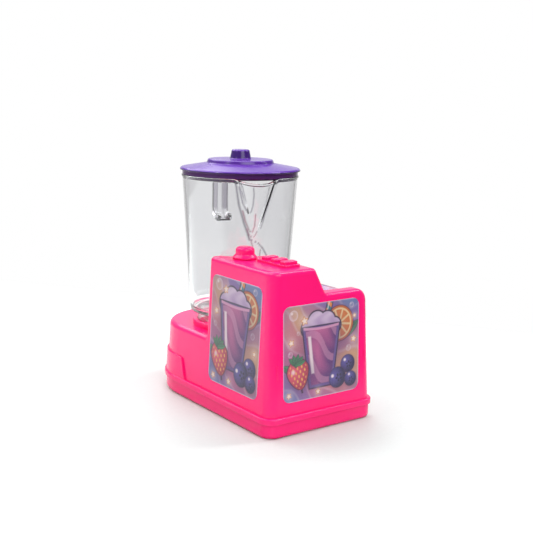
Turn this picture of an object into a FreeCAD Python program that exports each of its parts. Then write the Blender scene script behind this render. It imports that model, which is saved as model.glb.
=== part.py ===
import FreeCAD, Part
import math
import os
import Sketcher
from FreeCAD import Placement, Rotation, Vector

# A child's toy blender with a battery drive, in millimetres. +X runs to the right along the short near side,
# +Y runs away from it and +Z is up. The origin lies under the middle of the base.

# Places along the base are measured from its near end and places across it from its left side, unless the
# name says otherwise. Heights are measured from the ground or from the piece that carries them.
SIZES = {
    # base and housing
    "base_width": 105.0, "base_length": 184.0, "near_corner": 11.3, "end_flat": 0.3, "wall": 2.0,
    "draft": 2.4, "band_bottom": 10.9, "band_top": 15.7, "band_step": 2.0, "band_upper_round": 1.2,
    "band_lower_round": 0.8, "wall_inset": 2.7, "skirt_inset": 1.3, "neck_relief": 0.3,
    "platform_top": 57.8, "tower_top": 121.8, "tower_back": 89.8, "slope_top_x": 46.2, "slope_foot_x": 56.3,
    "slope_foot_round": 3.0, "shoulder_top": 102.1, "shoulder_round": 12.0, "edge_round": 3.5,
    "platform_round": 4.0, "scoop_foot_round": 2.0, "panel_near": 16.5, "panel_far": 66.5,
    "panel_left": 59.1, "panel_low": 26.0, "panel_top_depth": 0.8, "panel_side_depth": 2.5,
    "panel_bend": 22.0, "arch_proud": 1.5, "arch_foot": 67.0, "arch_corner": 60.8, "arch_top": 33.3,
    "arch_corner_round": 3.5, "arch_edge_round": 0.6, "plinth_x": 33.6, "plinth_y": 36.7,
    "plinth_width": 15.8, "plinth_length": 36.0, "plinth_height": 1.9, "plinth_corner": 3.0,
    "plinth_round": 0.6,
    # tray, posts and screws
    "tray_inset": 1.5, "tray_wall": 1.8, "tray_floor": 2.4, "tray_round": 3.0, "post_inset": 11.0,
    "post_y": 12.0, "far_post_inset": 40.0, "far_post_side": 16.5, "post_radius": 4.0, "post_bottom": 8.0,
    "near_post_top": 54.0, "rib_width": 1.6, "rib_foot": 18.7, "pilot_radius": 1.25, "pilot_depth": 14.0,
    "standoff_radius": 5.2, "screw_seat": 5.5, "screw_well": 3.4, "screw_hole": 1.5, "screw_head": 2.8,
    "head_height": 1.8, "screw_length": 12.0, "small_screw": 0.9, "tiny_screw": 0.6, "recess_reach": 0.55,
    "recess_half": 0.14, "screw_gap": 0.1, "plate_grip": 5.0, "motor_grip": 2.0, "guide_grip": 4.5,
    "board_grip": 3.5,
    # battery door, cells and contacts
    "box_half": 28.6, "box_near": 26.8, "box_far": 57.2, "box_roof": 17.4, "box_wall": 1.6,
    "door_rebate": 1.5, "door_top": 1.4, "door_bottom": 0.25, "door_gap": 0.3, "door_rim_top": 2.6,
    "tab_half": 6.0, "tab_far": 64.8, "door_screw_y": 61.4, "boss_radius": 3.4, "boss_top": 12.0,
    "door_screw_radius": 1.05, "door_head_radius": 2.3, "door_head_edge": 0.15, "door_screw_top": 9.5,
    "door_slot": 0.6, "cell_radius": 7.1, "cell_length": 49.2, "cell_edge": 0.6, "nub_radius": 2.75,
    "nub_length": 1.3, "nub_edge": 0.4, "cell_height": 10.0, "near_cell_y": 34.4, "far_cell_y": 49.6,
    "contact_gap": 28.2, "contact_low": 4.0, "contact_high": 16.0, "contact_half": 6.6,
    "spring_radius": 3.2, "spring_wire": 0.3, "spring_turns": 3.0,
    # drive
    "plate_bottom": 41.0, "plate_top": 43.5, "plate_half": 25.0, "plate_near": 83.0, "plate_far": 139.0,
    "plate_corner": 4.0, "plate_post_x": 20.0, "plate_post_near": 88.0, "plate_post_far": 134.0,
    "plate_post_radius": 3.2, "plate_boss": 6.0, "motor_y": 98.0, "motor_radius": 10.1, "motor_half": 7.7,
    "motor_bottom": 16.0, "motor_boss": 3.0, "motor_screw_x": 7.0, "motor_thread_depth": 3.0,
    "cap_bottom": 13.5, "cap_radius": 9.4, "cap_half": 7.2, "cap_floor": 1.0, "motor_shaft_radius": 1.0,
    "motor_shaft_top": 50.5, "shaft_gap": 0.05, "shaft_end_gap": 0.2, "pinion_bottom": 44.4,
    "pinion_top": 50.0, "gear_bottom": 45.0, "gear_top": 49.5, "gear_hub": 5.0, "gear_hub_below": 0.6,
    "gear_hub_top": 52.0, "tooth_module": 0.6, "tooth_above": 0.85, "tooth_below": 1.25, "tooth_foot": 0.72,
    "tooth_middle": 0.62, "tooth_tip": 0.3, "pinion_teeth": 10.0, "gear_teeth": 50.0, "spindle_radius": 2.0,
    "spindle_bottom": 36.2, "spindle_above": 6.7, "bush_bottom": 36.6, "lower_bush_radius": 3.5,
    "upper_bush_radius": 4.0, "bush_flange": 5.5, "flange_height": 0.9, "bush_above": 0.5,
    "dog_radius": 8.5, "dog_gap": 0.4, "dog_height": 3.3, "dog_disc": 2.6, "dog_edge": 0.5,
    "lug_height": 3.0, "lug_inner": 4.6, "lug_outer": 7.533, "lug_half": 2.43, "lug_corner": 0.6,
    "lug_gap": 0.4,
    # jar and its socket in the platform
    "jar_y": 116.0, "jar_height": 123.4, "rim_inset": 5.7, "scoop_inset": 2.4, "jar_taper": 7.36,
    "foot_height": 11.5, "foot_step": 5.84, "foot_edge": 0.6, "floor_thick": 2.7, "jar_bottom_round": 2.5,
    "jar_inside_round": 3.0, "jar_boss": 6.0, "boss_height": 3.4, "socket_wall": 3.2, "socket_gap": 0.4,
    "socket_height": 4.4, "socket_round": 0.7, "spout_angle": -108.0, "spout_depth": 54.2,
    "spout_low_radius": 4.0, "spout_radius": 17.47, "spout_inset": 9.97, "lip_drop": 3.0, "lip_inset": 3.0,
    "handle_angle": 73.6, "handle_half": 7.0, "handle_side": 4.4, "handle_web": 2.2, "handle_depth": 6.2,
    "handle_room": 14.2, "handle_drop": 3.2, "handle_height": 40.5, "handle_upper_bend": 9.0,
    "handle_lower_bend": 12.0,
    # lid
    "lid_gap": 0.4, "ring_depth": 1.3, "ring_wall": 1.5, "lid_wall": 1.8, "lid_skirt": 3.8, "brim_out": 1.9,
    "brim_height": 1.9, "brim_edge": 0.8, "brim_slant": 1.0, "brim_round": 0.6, "cone_rise": 3.7,
    "crown_inset": 19.5, "crown_height": 3.0, "crown_lean": 1.1, "crown_round": 1.2,
    "crown_foot_round": 0.8, "grip_foot": 8.6, "grip_foot_rise": 0.3, "grip_foot_round": 0.8,
    "grip_height": 7.7, "grip_top_radius": 7.1, "grip_round": 1.6,
    # agitator
    "shaft_below": 3.7, "shaft_above": 3.5, "hub_gap": 0.6, "hub_height": 6.0, "hub_radius": 4.4,
    "hub_edge": 0.5, "hub_round": 2.0, "blade_reach": 16.0, "blade_root": 3.0, "blade_width": 6.5,
    "blade_thick": 1.5, "blade_corner": 1.0, "blade_tilt": 25.0, "blade_rise": 3.0,
    # keys and switches
    "key_x": 34.5, "key_y": 36.7, "key_pitch": 11.5, "key_width": 12.5, "key_length": 7.5,
    "key_corner": 2.2, "key_height": 2.1, "key_edge": 0.9, "key_gap": 0.3, "flange_width": 15.0,
    "flange_length": 9.5, "flange_corner": 1.0, "flange_thick": 1.6, "flange_gap": 0.3, "stem_radius": 1.8,
    "stem_gap": 2.7, "stem_play": 0.2, "key_spring_radius": 3.2, "key_spring_wire": 0.25,
    "key_spring_turns": 4.0, "key_spring_height": 4.6, "guide_thick": 1.8, "guide_left": 22.6,
    "guide_right": 44.6, "guide_near": 11.0, "guide_far": 62.4, "guide_corner": 2.0,
    "guide_boss_near": 14.7, "guide_boss_far": 58.7, "guide_boss": 3.0, "board_thick": 1.6,
    "board_gap": 4.9, "board_left": 21.5, "board_right": 46.5, "board_near": 17.0, "board_far": 56.0,
    "board_corner": 1.0, "board_post": 2.2, "board_post_left": 25.5, "board_post_right": 42.1,
    "board_post_near": 19.6, "board_post_far": 53.4, "dome_radius": 3.6, "dome_height": 1.0,
    "dome_top": 0.55,
    # selector
    "knob_x": 24.5, "knob_y": 67.0, "knob_gap": 0.3, "knob_skirt": 9.4, "knob_skirt_height": 1.1,
    "knob_skirt_round": 0.4, "knob_radius": 7.3, "knob_flare": 2.4, "knob_foot_round": 1.5,
    "knob_dome": 5.5, "knob_round": 3.0, "knob_hollow": 6.3, "knob_hollow_height": 3.1,
    "control_radius": 8.0, "control_room": 1.5, "control_height": 7.6, "control_bush": 3.6,
    "control_bush_rise": 3.2, "control_shaft": 3.0, "control_shaft_rise": 1.8, "control_shaft_above": 4.0,
    "control_fit": 0.05, "nut_half": 5.0, "nut_height": 1.8,
    # labels
    "label_thick": 0.15, "label_corner": 6.0, "side_label_near": 18.5, "side_label_far": 83.5,
    "side_label_low": 24.8, "side_label_high": 109.8, "end_label_left": 15.9, "end_label_right": 17.4,
    "end_label_low": 25.1, "end_label_high": 96.5, "front_label_left": 61.3, "front_label_low": 32.0,
    "front_label_margin": 3.0, "label_reach": 16.0,
}
doc = FreeCAD.newDocument("toy_blender")
sheet = doc.addObject("Spreadsheet::Sheet", "Sizes")
for row, (alias, value) in enumerate(SIZES.items(), start=1):
    sheet.set(f"A{row}", alias)
    sheet.set(f"B{row}", str(value))
    sheet.setAlias(f"B{row}", alias)
doc.recompute()


class Size:
    """A length or angle, with the wording that works it out from the sheet."""

    def __init__(self, value, text):
        self.value = value
        self.text = text

    def __add__(self, other):
        return Size(self.value + number(other), f"({self.text} + {wording(other)})")

    def __sub__(self, other):
        return Size(self.value - number(other), f"({self.text} - {wording(other)})")

    def __mul__(self, other):
        return Size(self.value * number(other), f"({self.text} * {wording(other)})")

    def __truediv__(self, other):
        return Size(self.value / number(other), f"({self.text} / {wording(other)})")

    def __radd__(self, other):
        return Size(number(other) + self.value, f"({other} + {self.text})")

    def __rsub__(self, other):
        return Size(number(other) - self.value, f"({other} - {self.text})")

    def __rmul__(self, other):
        return Size(number(other) * self.value, f"({other} * {self.text})")

    def __rtruediv__(self, other):
        return Size(number(other) / self.value, f"({other} / {self.text})")

    def __neg__(self):
        return Size(-self.value, f"(0 - {self.text})")


class Sheet:
    """Gives each size of the sheet by its name, less the shift where there is one."""

    def __init__(self, shift=None):
        self.shift = shift

    def __getattr__(self, alias):
        size = Size(float(sheet.get(alias)), f"Sizes.{alias}")
        return size if self.shift is None else size - self.shift


def number(size):
    return size.value if isinstance(size, Size) else float(size)


def wording(size):
    return size.text if isinstance(size, Size) else repr(float(size))


s = Sheet()
half_width = s.base_width / 2
half_length = s.base_length / 2
across = Sheet(half_width)
along = Sheet(half_length)


def tan(angle):
    return Size(math.tan(math.radians(angle.value)), f"tan({angle.text})")


def sin(angle):
    return Size(math.sin(math.radians(angle.value)), f"sin({angle.text})")


def cos(angle):
    return Size(math.cos(math.radians(angle.value)), f"cos({angle.text})")


def root(size):
    return Size(math.sqrt(size.value), f"sqrt({size.text})")


def bind(thing, path, size):
    if isinstance(size, Size):
        thing.setExpression(path, size.text)


def place(thing, x=0.0, y=0.0, z=0.0, turn=0.0, axis=(0, 0, 1)):
    thing.Placement = Placement(Vector(number(x), number(y), number(z)), Rotation(Vector(*axis), number(turn)))
    bind(thing, "Placement.Base.x", x)
    bind(thing, "Placement.Base.y", y)
    bind(thing, "Placement.Base.z", z)
    bind(thing, "Placement.Rotation.Angle", turn)
    return thing


def body(label, **where):
    return place(doc.addObject("PartDesign::Body", label), **where)


def sketch(piece, name, role="XY_Plane", level=0.0):
    flat = [plane for plane in piece.Origin.OriginFeatures if plane.Role == role][0]
    drawing = piece.newObject("Sketcher::SketchObject", name)
    drawing.AttachmentSupport = [(flat, "")]
    drawing.MapMode = "FlatFace"
    drawing.AttachmentOffset = Placement(Vector(0, 0, number(level)), Rotation())
    bind(drawing, "AttachmentOffset.Base.z", level)
    return drawing


def rule(drawing, constraint, size):
    index = drawing.addConstraint(constraint)
    bind(drawing, f"Constraints[{index}]", size)


def pin(drawing, geometry, which_point, x, y):
    for axis, size in (("DistanceX", x), ("DistanceY", y)):
        rule(drawing, Sketcher.Constraint(axis, -1, 1, geometry, which_point, number(size)), size)


def outline(drawing, corners):
    """Draws a closed outline through corners given as (x, y) or, where a corner is rounded, (x, y, radius)."""
    count = len(corners)
    spots = [Vector(number(corner[0]), number(corner[1]), 0) for corner in corners]
    entries = []
    exits = []
    arcs = {}
    for i, here in enumerate(spots):
        if len(corners[i]) == 2:
            entries.append(here)
            exits.append(here)
            continue
        back = (spots[i - 1] - here).normalize()
        ahead = (spots[(i + 1) % count] - here).normalize()
        half = back.getAngle(ahead) / 2
        radius = number(corners[i][2])
        middle = here + (back + ahead).normalize() * (radius / math.sin(half))
        entries.append(here + back * (radius / math.tan(half)))
        exits.append(here + ahead * (radius / math.tan(half)))
        arcs[i] = Part.Arc(entries[i], middle + (here - middle).normalize() * radius, exits[i])
    lines = []
    for i in range(count):
        lines.append(drawing.addGeometry(Part.LineSegment(exits[i], entries[(i + 1) % count])))
    for i, corner in enumerate(corners):
        before = lines[i - 1]
        after = lines[i]
        if i not in arcs:
            drawing.addConstraint(Sketcher.Constraint("Coincident", before, 2, after, 1))
            pin(drawing, after, 1, corner[0], corner[1])
            continue
        vertex = drawing.addGeometry(Part.Point(spots[i]), True)
        pin(drawing, vertex, 1, corner[0], corner[1])
        arc = drawing.addGeometry(arcs[i])
        starts_at_entry = (drawing.getPoint(arc, 1) - entries[i]).Length < 1e-6
        entry_end, exit_end = (1, 2) if starts_at_entry else (2, 1)
        drawing.addConstraint(Sketcher.Constraint("PointOnObject", vertex, 1, before))
        drawing.addConstraint(Sketcher.Constraint("PointOnObject", vertex, 1, after))
        drawing.addConstraint(Sketcher.Constraint("Tangent", before, 2, arc, entry_end))
        drawing.addConstraint(Sketcher.Constraint("Tangent", after, 1, arc, exit_end))
        rule(drawing, Sketcher.Constraint("Radius", arc, number(corner[2])), corner[2])
    return drawing


def oblong(drawing, left, right, near, far, *corner):
    spots = [(left, near), (right, near), (right, far), (left, far)]
    return outline(drawing, [(x, y, *corner) for x, y in spots])


def ring(drawing, x, y, radius):
    circle = drawing.addGeometry(Part.Circle(Vector(number(x), number(y), 0), Vector(0, 0, 1), number(radius)))
    pin(drawing, circle, 3, x, y)
    rule(drawing, Sketcher.Constraint("Radius", circle, number(radius)), radius)
    return drawing


def feature(piece, kind, drawing, **sizes):
    made = piece.newObject(f"PartDesign::{kind}", f"{drawing.Name}_{kind.lower()}")
    made.Profile = drawing
    for path, size in sizes.items():
        setattr(made, path, number(size))
        bind(made, path, size)
    return made


def pad(piece, drawing, length, back=False, **more):
    """Adds the drawing's area, raised from its plane, or sunk where back is set."""
    made = feature(piece, "Pad", drawing, Length=length, **more)
    made.Reversed = back
    return made


def pocket(piece, drawing, length, up=False):
    """Cuts the drawing's area into the solid below its plane, or above it where up is set."""
    made = feature(piece, "Pocket", drawing, Length=length)
    made.Reversed = up
    return made


def slice_through(piece, drawing, length):
    """Cuts the drawing's area to both sides of its plane."""
    made = feature(piece, "Pocket", drawing, Length=length)
    made.Midplane = True
    return made


def turned(piece, drawing, kind="Revolution"):
    """Turns the drawing once round the upright axis of its body."""
    made = feature(piece, kind, drawing, Angle=360.0)
    made.ReferenceAxis = (drawing, ["V_Axis"])
    return made


def lathe(label, corners, **where):
    """A piece turned round an upright axis from an outline of (radius, height) corners."""
    piece = body(label, **where)
    turned(piece, outline(sketch(piece, "profile", "XZ_Plane"), corners))
    return piece


def reach(edge):
    """The box that holds an edge, from points along it."""
    box = FreeCAD.BoundBox()
    for point in edge.discretize(9):
        box.add(point)
    return box


def edges_where(shape, test):
    return [index for index, edge in enumerate(shape.Edges, start=1) if test(reach(edge))]


def rounded(piece, radius, test):
    """Rounds those edges of the body whose bounding box passes the test."""
    doc.recompute()
    under = piece.Tip
    made = piece.newObject("PartDesign::Fillet", "Fillet")
    made.Base = (under, [f"Edge{index}" for index in edges_where(under.Shape, test)])
    made.Radius = number(radius)
    bind(made, "Radius", radius)
    return made


def level(box, height):
    return abs(box.ZMin - number(height)) < slack and abs(box.ZMax - number(height)) < slack


def cylinder(label, x, y, low, high, radius):
    made = place(doc.addObject("Part::Cylinder", label), x, y, low)
    for path, size in (("Radius", radius), ("Height", high - low)):
        setattr(made, path, number(size))
        bind(made, path, size)
    return made


def cuboid(label, left, right, near, far, low, high):
    made = place(doc.addObject("Part::Box", label), left, near, low)
    for path, size in (("Length", right - left), ("Width", far - near), ("Height", high - low)):
        setattr(made, path, number(size))
        bind(made, path, size)
    return made


def joined(label, things):
    made = doc.addObject("Part::MultiFuse", label)
    made.Shapes = things
    made.Refine = False
    return made


def cut(label, solid, tool):
    made = doc.addObject("Part::Cut", label)
    made.Base = solid
    made.Tool = tool
    made.Refine = False
    return made


def shared(label, first, second):
    made = doc.addObject("Part::Common", label)
    made.Base = first
    made.Tool = second
    return made


def group(label, things):
    made = doc.addObject("Part::Compound", label)
    made.Links = things
    return made


past = 1.0  # how far a cutting tool reaches past what it cuts, and an added block into what it joins
slack = 0.02  # how far an edge may lie from the place where it is looked for
tray_top = s.band_top - s.band_step
roof = s.tower_top - s.wall
arch_foot_y = half_length - s.arch_foot
arch_corner_y = half_length - s.arch_corner

# jar, spout and handle
rim_radius = half_width - s.rim_inset
scoop_radius = rim_radius - s.scoop_inset
jar_floor_radius = rim_radius - s.jar_taper
jar_foot_radius = jar_floor_radius - s.foot_step
socket_inner = jar_foot_radius + s.socket_gap
socket_outer = socket_inner + s.socket_wall
socket_top = s.platform_top + s.socket_height
jar_floor = s.platform_top + s.foot_height
jar_inside = jar_floor + s.floor_thick
jar_boss_top = jar_inside + s.boss_height
jar_rim = s.platform_top + s.jar_height
spout_reach = rim_radius - s.spout_inset
spout_low = jar_rim - s.spout_depth
handle_out = rim_radius + s.handle_room
handle_top = jar_rim - s.handle_drop
handle_low = handle_top - s.handle_height

# lid
lid_ring = rim_radius - s.wall - s.lid_gap
lid_ring_bottom = jar_rim - s.ring_depth
brim_radius = rim_radius + s.brim_out
brim_bottom = jar_rim + s.lid_skirt
brim_top = brim_bottom + s.brim_height
crown_radius = rim_radius - s.crown_inset
crown_foot = brim_top + s.cone_rise
crown_top = crown_foot + s.crown_height
lid_top = crown_top + s.grip_height

# drive coupling and agitator
spindle_top = s.platform_top + s.spindle_above
upper_bush_top = s.platform_top + s.bush_above
dog_bottom = upper_bush_top + s.dog_gap
dog_top = dog_bottom + s.dog_height
agitator_shaft_bottom = jar_floor - s.shaft_below
hub_bottom = jar_boss_top + s.hub_gap
hub_top = hub_bottom + s.hub_height
blade_height = hub_bottom + s.blade_rise
agitator_shaft_top = hub_bottom + s.shaft_above

# keys, their guide and the switch board, from the roof down
plinth_top = s.tower_top + s.plinth_height
key_top = plinth_top + s.key_height
flange_high = roof - s.flange_gap
flange_low = flange_high - s.flange_thick
guide_top = flange_low - s.key_spring_height
guide_bottom = guide_top - s.guide_thick
board_top = guide_bottom - s.board_gap
board_bottom = board_top - s.board_thick
stem_bottom = board_top + s.stem_gap

# selector
knob_bottom = s.tower_top + s.knob_gap
knob_skirt_top = knob_bottom + s.knob_skirt_height
knob_waist = knob_skirt_top + s.knob_flare
knob_top = knob_waist + s.knob_dome
knob_hollow_top = knob_bottom + s.knob_hollow_height
control_bottom = roof - s.control_height
control_bush_top = s.tower_top + s.control_bush_rise
control_shaft_bottom = control_bottom + s.control_shaft_rise
control_shaft_top = control_bush_top + s.control_shaft_above
nut_top = s.tower_top + s.nut_height

# places of the screws and keys
near_post_x = half_width - s.post_inset
far_post_x = half_width - s.far_post_side
far_post_y = half_length - s.far_post_inset
near_posts = [(-near_post_x, along.post_y), (near_post_x, along.post_y)]
far_posts = [(-far_post_x, far_post_y), (far_post_x, far_post_y)]
plate_posts = [(side * s.plate_post_x, y) for side in (-1, 1)
               for y in (along.plate_post_near, along.plate_post_far)]
board_posts = [(x, y) for x in (across.board_post_left, across.board_post_right)
               for y in (along.board_post_near, along.board_post_far)]
tiny_hole = s.pilot_radius * s.tiny_screw
guide_bosses = [along.guide_boss_near, along.guide_boss_far]
key_rows = [(name, along.key_y + step * s.key_pitch) for name, step in (("low", -1), ("medium", 0), ("high", 1))]


def plan(drawing, inset, *near_corner):
    """Draws the base as seen from above: its near corners square or rounded, its far end half round."""
    side = half_width - inset
    near = inset - half_length
    far = half_length - inset
    end = side - s.end_flat
    return outline(drawing, [(-side, near, *near_corner), (side, near, *near_corner), (side, far, end),
                             (-side, far, end)])


def wall_x(height, inset):
    """Where the leaning right wall stands at that height."""
    return half_width - s.wall_inset - inset - (height - s.band_top) * tan(s.draft)


def block(label, wall):
    """The platform and tower as one solid, its faces moved in by wall."""
    piece = body(label + "_faces")
    top = s.tower_top + 10 * past
    foot = plan(sketch(piece, "foot", level=s.band_top), s.wall_inset + wall)
    pad(piece, foot, s.tower_top - wall - s.band_top, TaperAngle=-s.draft)
    rear = along.tower_back - wall
    floor = s.platform_top - wall
    over_platform = sketch(piece, "over_platform", "YZ_Plane")
    outline(over_platform, [(rear, floor), (s.base_length, floor), (s.base_length, top), (rear, top)])
    slice_through(piece, over_platform, s.base_width * 2)
    lean = (across.slope_foot_x - across.slope_top_x) / (s.tower_top - s.shoulder_top)
    shoulder = s.shoulder_top - wall
    foot_x = across.slope_foot_x + wall * (lean - root(lean * lean + 1))
    high_x = foot_x - lean * (top - shoulder)
    over_shoulder = sketch(piece, "over_shoulder", "XZ_Plane")
    outline(over_shoulder, [(high_x, top), (foot_x, shoulder), (s.base_width, shoulder), (s.base_width, top)])
    slice_through(piece, over_shoulder, s.base_length * 2)
    scoop = ring(sketch(piece, "jar_scoop", level=floor), 0.0, along.jar_y, scoop_radius + wall)
    pocket(piece, scoop, s.tower_top - floor, up=True)
    shoulder_start = number(wall_x(s.shoulder_top, wall) - past)
    rounded(piece, s.shoulder_round - wall, lambda box: level(box, shoulder) and box.XMin > shoulder_start)
    panel = sketch(piece, "front_panel", "XZ_Plane", level=wall - along.panel_near)
    panel_top = shoulder - s.panel_top_depth
    panel_low = s.panel_low - wall
    inset = wall + s.panel_side_depth
    corner = (wall_x(panel_top, inset), panel_top, s.panel_bend - wall)
    left = across.panel_left - wall
    outline(panel, [(left, panel_top), corner, (wall_x(panel_low, inset), panel_low), (s.base_width, panel_low),
                    (s.base_width, top), (left, top)])
    pocket(piece, panel, along.panel_far - along.panel_near + 2 * wall)
    doc.recompute()
    rounds = doc.addObject("Part::Fillet", label)
    rounds.Base = piece
    rounds.Edges = block_rounds(piece.Shape, wall)
    return rounds


def is_sharp(shape, edge):
    middle = edge.valueAt((edge.FirstParameter + edge.LastParameter) / 2)
    normals = [face.normalAt(*face.Surface.parameter(middle)) for face in shape.ancestorsOfType(edge, Part.Face)]
    return len(normals) == 2 and math.degrees(normals[0].getAngle(normals[1])) > 5


def block_rounds(shape, wall):
    """Lists (edge, radius at its start, radius at its end) for the block's rounded edges."""
    near = number(s.near_corner - half_length)
    floor = number(s.platform_top - wall)
    shoulder = number(s.shoulder_top - wall)
    panel_left = number(across.panel_left - wall) - slack
    panel_near = number(along.panel_near - past)
    panel_far = number(along.panel_far + past)
    corner = number(s.near_corner - s.wall_inset - wall)
    soft = number(s.edge_round - wall)
    rounds = []
    for index, edge in enumerate(shape.Edges, start=1):
        box = reach(edge)
        if box.ZMax < number(s.band_top) + slack or not is_sharp(shape, edge):
            continue
        at_near_wall = box.YMax < near
        on_panel = box.XMin > panel_left and box.YMin > panel_near and box.YMax < panel_far
        if at_near_wall and box.ZMin < number(s.band_top) + slack:
            rounds.append((index, corner, corner))
        elif at_near_wall and box.XMin > panel_left and box.ZLength > 5:
            rounds.append((index, corner, soft))
        elif at_near_wall and level(box, shoulder):
            rounds.append((index, soft, soft))
        elif number(wall) == 0 and not on_panel:
            radius = outer_round(box, floor, shoulder)
            rounds.append((index, radius, radius))
    return rounds


def outer_round(box, floor, shoulder):
    """The radius of one edge of the housing's outside."""
    if level(box, floor):
        under_jar = box.YMax < number(along.tower_back) + slack
        return number(s.scoop_foot_round) if under_jar else number(s.platform_round)
    if level(box, shoulder) and box.XMax < number(across.slope_foot_x) + slack:
        return number(s.slope_foot_round)
    return number(s.edge_round)


nodes = {}


def keep(label, thing):
    thing.Label = label
    nodes[label] = thing
    return thing


def make_upper_housing():
    outer = block("housing_outside", 0.0)
    inner = block("housing_inside", s.wall)

    band = body("band")
    pad(band, plan(sketch(band, "rim", level=s.band_bottom), 0.0, s.near_corner), s.band_top - s.band_bottom)
    rounded(band, s.band_upper_round, lambda box: level(box, s.band_top))
    rounded(band, s.band_lower_round, lambda box: level(box, s.band_bottom))
    skirt = sketch(band, "skirt", level=s.band_bottom)
    plan(skirt, s.skirt_inset, s.near_corner - s.skirt_inset)
    pocket(band, skirt, s.band_top - s.band_step - s.band_bottom, up=True)
    neck_inset = s.wall_inset + s.wall - s.neck_relief
    neck = plan(sketch(band, "neck", level=s.band_bottom), neck_inset, s.near_corner - neck_inset)
    pocket(band, neck, s.band_top - s.band_bottom, up=True)

    socket = lathe("jar_socket", [(socket_inner, s.platform_top - past), (socket_outer, s.platform_top - past),
                                  (socket_outer, socket_top, s.socket_round), (socket_inner, socket_top)],
                   y=along.jar_y)

    plinth = body("key_plinth")
    deck = sketch(plinth, "deck", level=s.tower_top - past)
    oblong(deck, across.plinth_x - s.plinth_width / 2, across.plinth_x + s.plinth_width / 2,
           along.plinth_y - s.plinth_length / 2, along.plinth_y + s.plinth_length / 2, s.plinth_corner)
    pad(plinth, deck, s.plinth_height + past)
    rounded(plinth, s.plinth_round, lambda box: level(box, plinth_top))

    arch = body("arch_pad")
    band_around = plan(sketch(arch, "around", level=s.band_top), s.wall_inset - s.arch_proud)
    pad(arch, band_around, s.arch_top - s.band_top, TaperAngle=-s.draft)
    away = sketch(arch, "ahead_of_arch", "YZ_Plane")
    outline(away, [(-s.base_length, s.band_top - past), (arch_foot_y, s.band_top - past),
                   (arch_corner_y, s.arch_top + past), (-s.base_length, s.arch_top + past)])
    slice_through(arch, away, s.base_width * 2)
    long_edge = number(half_width)
    rounded(arch, s.arch_corner_round,
            lambda box: level(box, s.arch_top) and box.YLength < slack and box.XLength > long_edge)
    ahead = number(arch_foot_y - past)
    front_corner = number(arch_corner_y + 2 * s.arch_corner_round)
    above_band = number(s.band_top + past)
    rounded(arch, s.arch_edge_round,
            lambda box: box.YMin > ahead and box.ZMax > above_band and box.XLength < long_edge
            and (level(box, s.arch_top) or box.YMax < front_corner))

    shell = cut("housing_shell", joined("housing_solid", [band, outer, socket, plinth, arch]), inner)
    joint = s.platform_top - s.wall / 2
    inside = [cylinder("post", x, y, s.post_bottom, s.near_post_top, s.post_radius) for x, y in near_posts]
    inside += [cylinder("post", x, y, s.post_bottom, joint, s.post_radius) for x, y in far_posts]
    near_wall = neck_inset - half_length - past / 2
    for x, y in near_posts:
        inside.append(cuboid("post_rib", x - s.rib_width / 2, x + s.rib_width / 2, near_wall, y, s.rib_foot,
                             s.near_post_top))
    for x, y in plate_posts:
        inside.append(cylinder("plate_post", x, y, s.plate_top, joint, s.plate_post_radius))
    for y in guide_bosses:
        inside.append(cylinder("guide_boss", across.plinth_x, y, guide_top, roof + s.wall / 2, s.guide_boss))

    openings = []
    for x, y in near_posts + far_posts:
        openings.append(cylinder("pilot", x, y, s.post_bottom, s.post_bottom + s.pilot_depth, s.pilot_radius))
    for x, y in plate_posts:
        openings.append(cylinder("pilot", x, y, s.plate_top, s.plate_top + s.pilot_depth / 2, s.pilot_radius))
    for y in guide_bosses:
        openings.append(cylinder("pilot", across.plinth_x, y, guide_top, roof - past, s.pilot_radius))
    openings.append(cylinder("spindle_hole", 0.0, along.jar_y, s.platform_top - s.wall - past, s.platform_top + past,
                             s.upper_bush_radius))
    openings.append(cylinder("selector_hole", across.knob_x, along.knob_y, roof - past, s.tower_top + past,
                             s.control_bush))
    for name, y in key_rows:
        well = body(name + "_well")
        half_across = s.key_width / 2 + s.key_gap
        half_along = s.key_length / 2 + s.key_gap
        hole = sketch(well, name + "_hole", level=roof - past)
        oblong(hole, across.key_x - half_across, across.key_x + half_across, y - half_along, y + half_along,
               s.key_corner + s.key_gap)
        pad(well, hole, plinth_top - roof + 2 * past)
        openings.append(well)
    solid = joined("housing_with_posts", [shell] + inside)
    keep("upper_housing", cut("upper_housing", solid, joined("housing_openings", openings)))
    return outer


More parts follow.
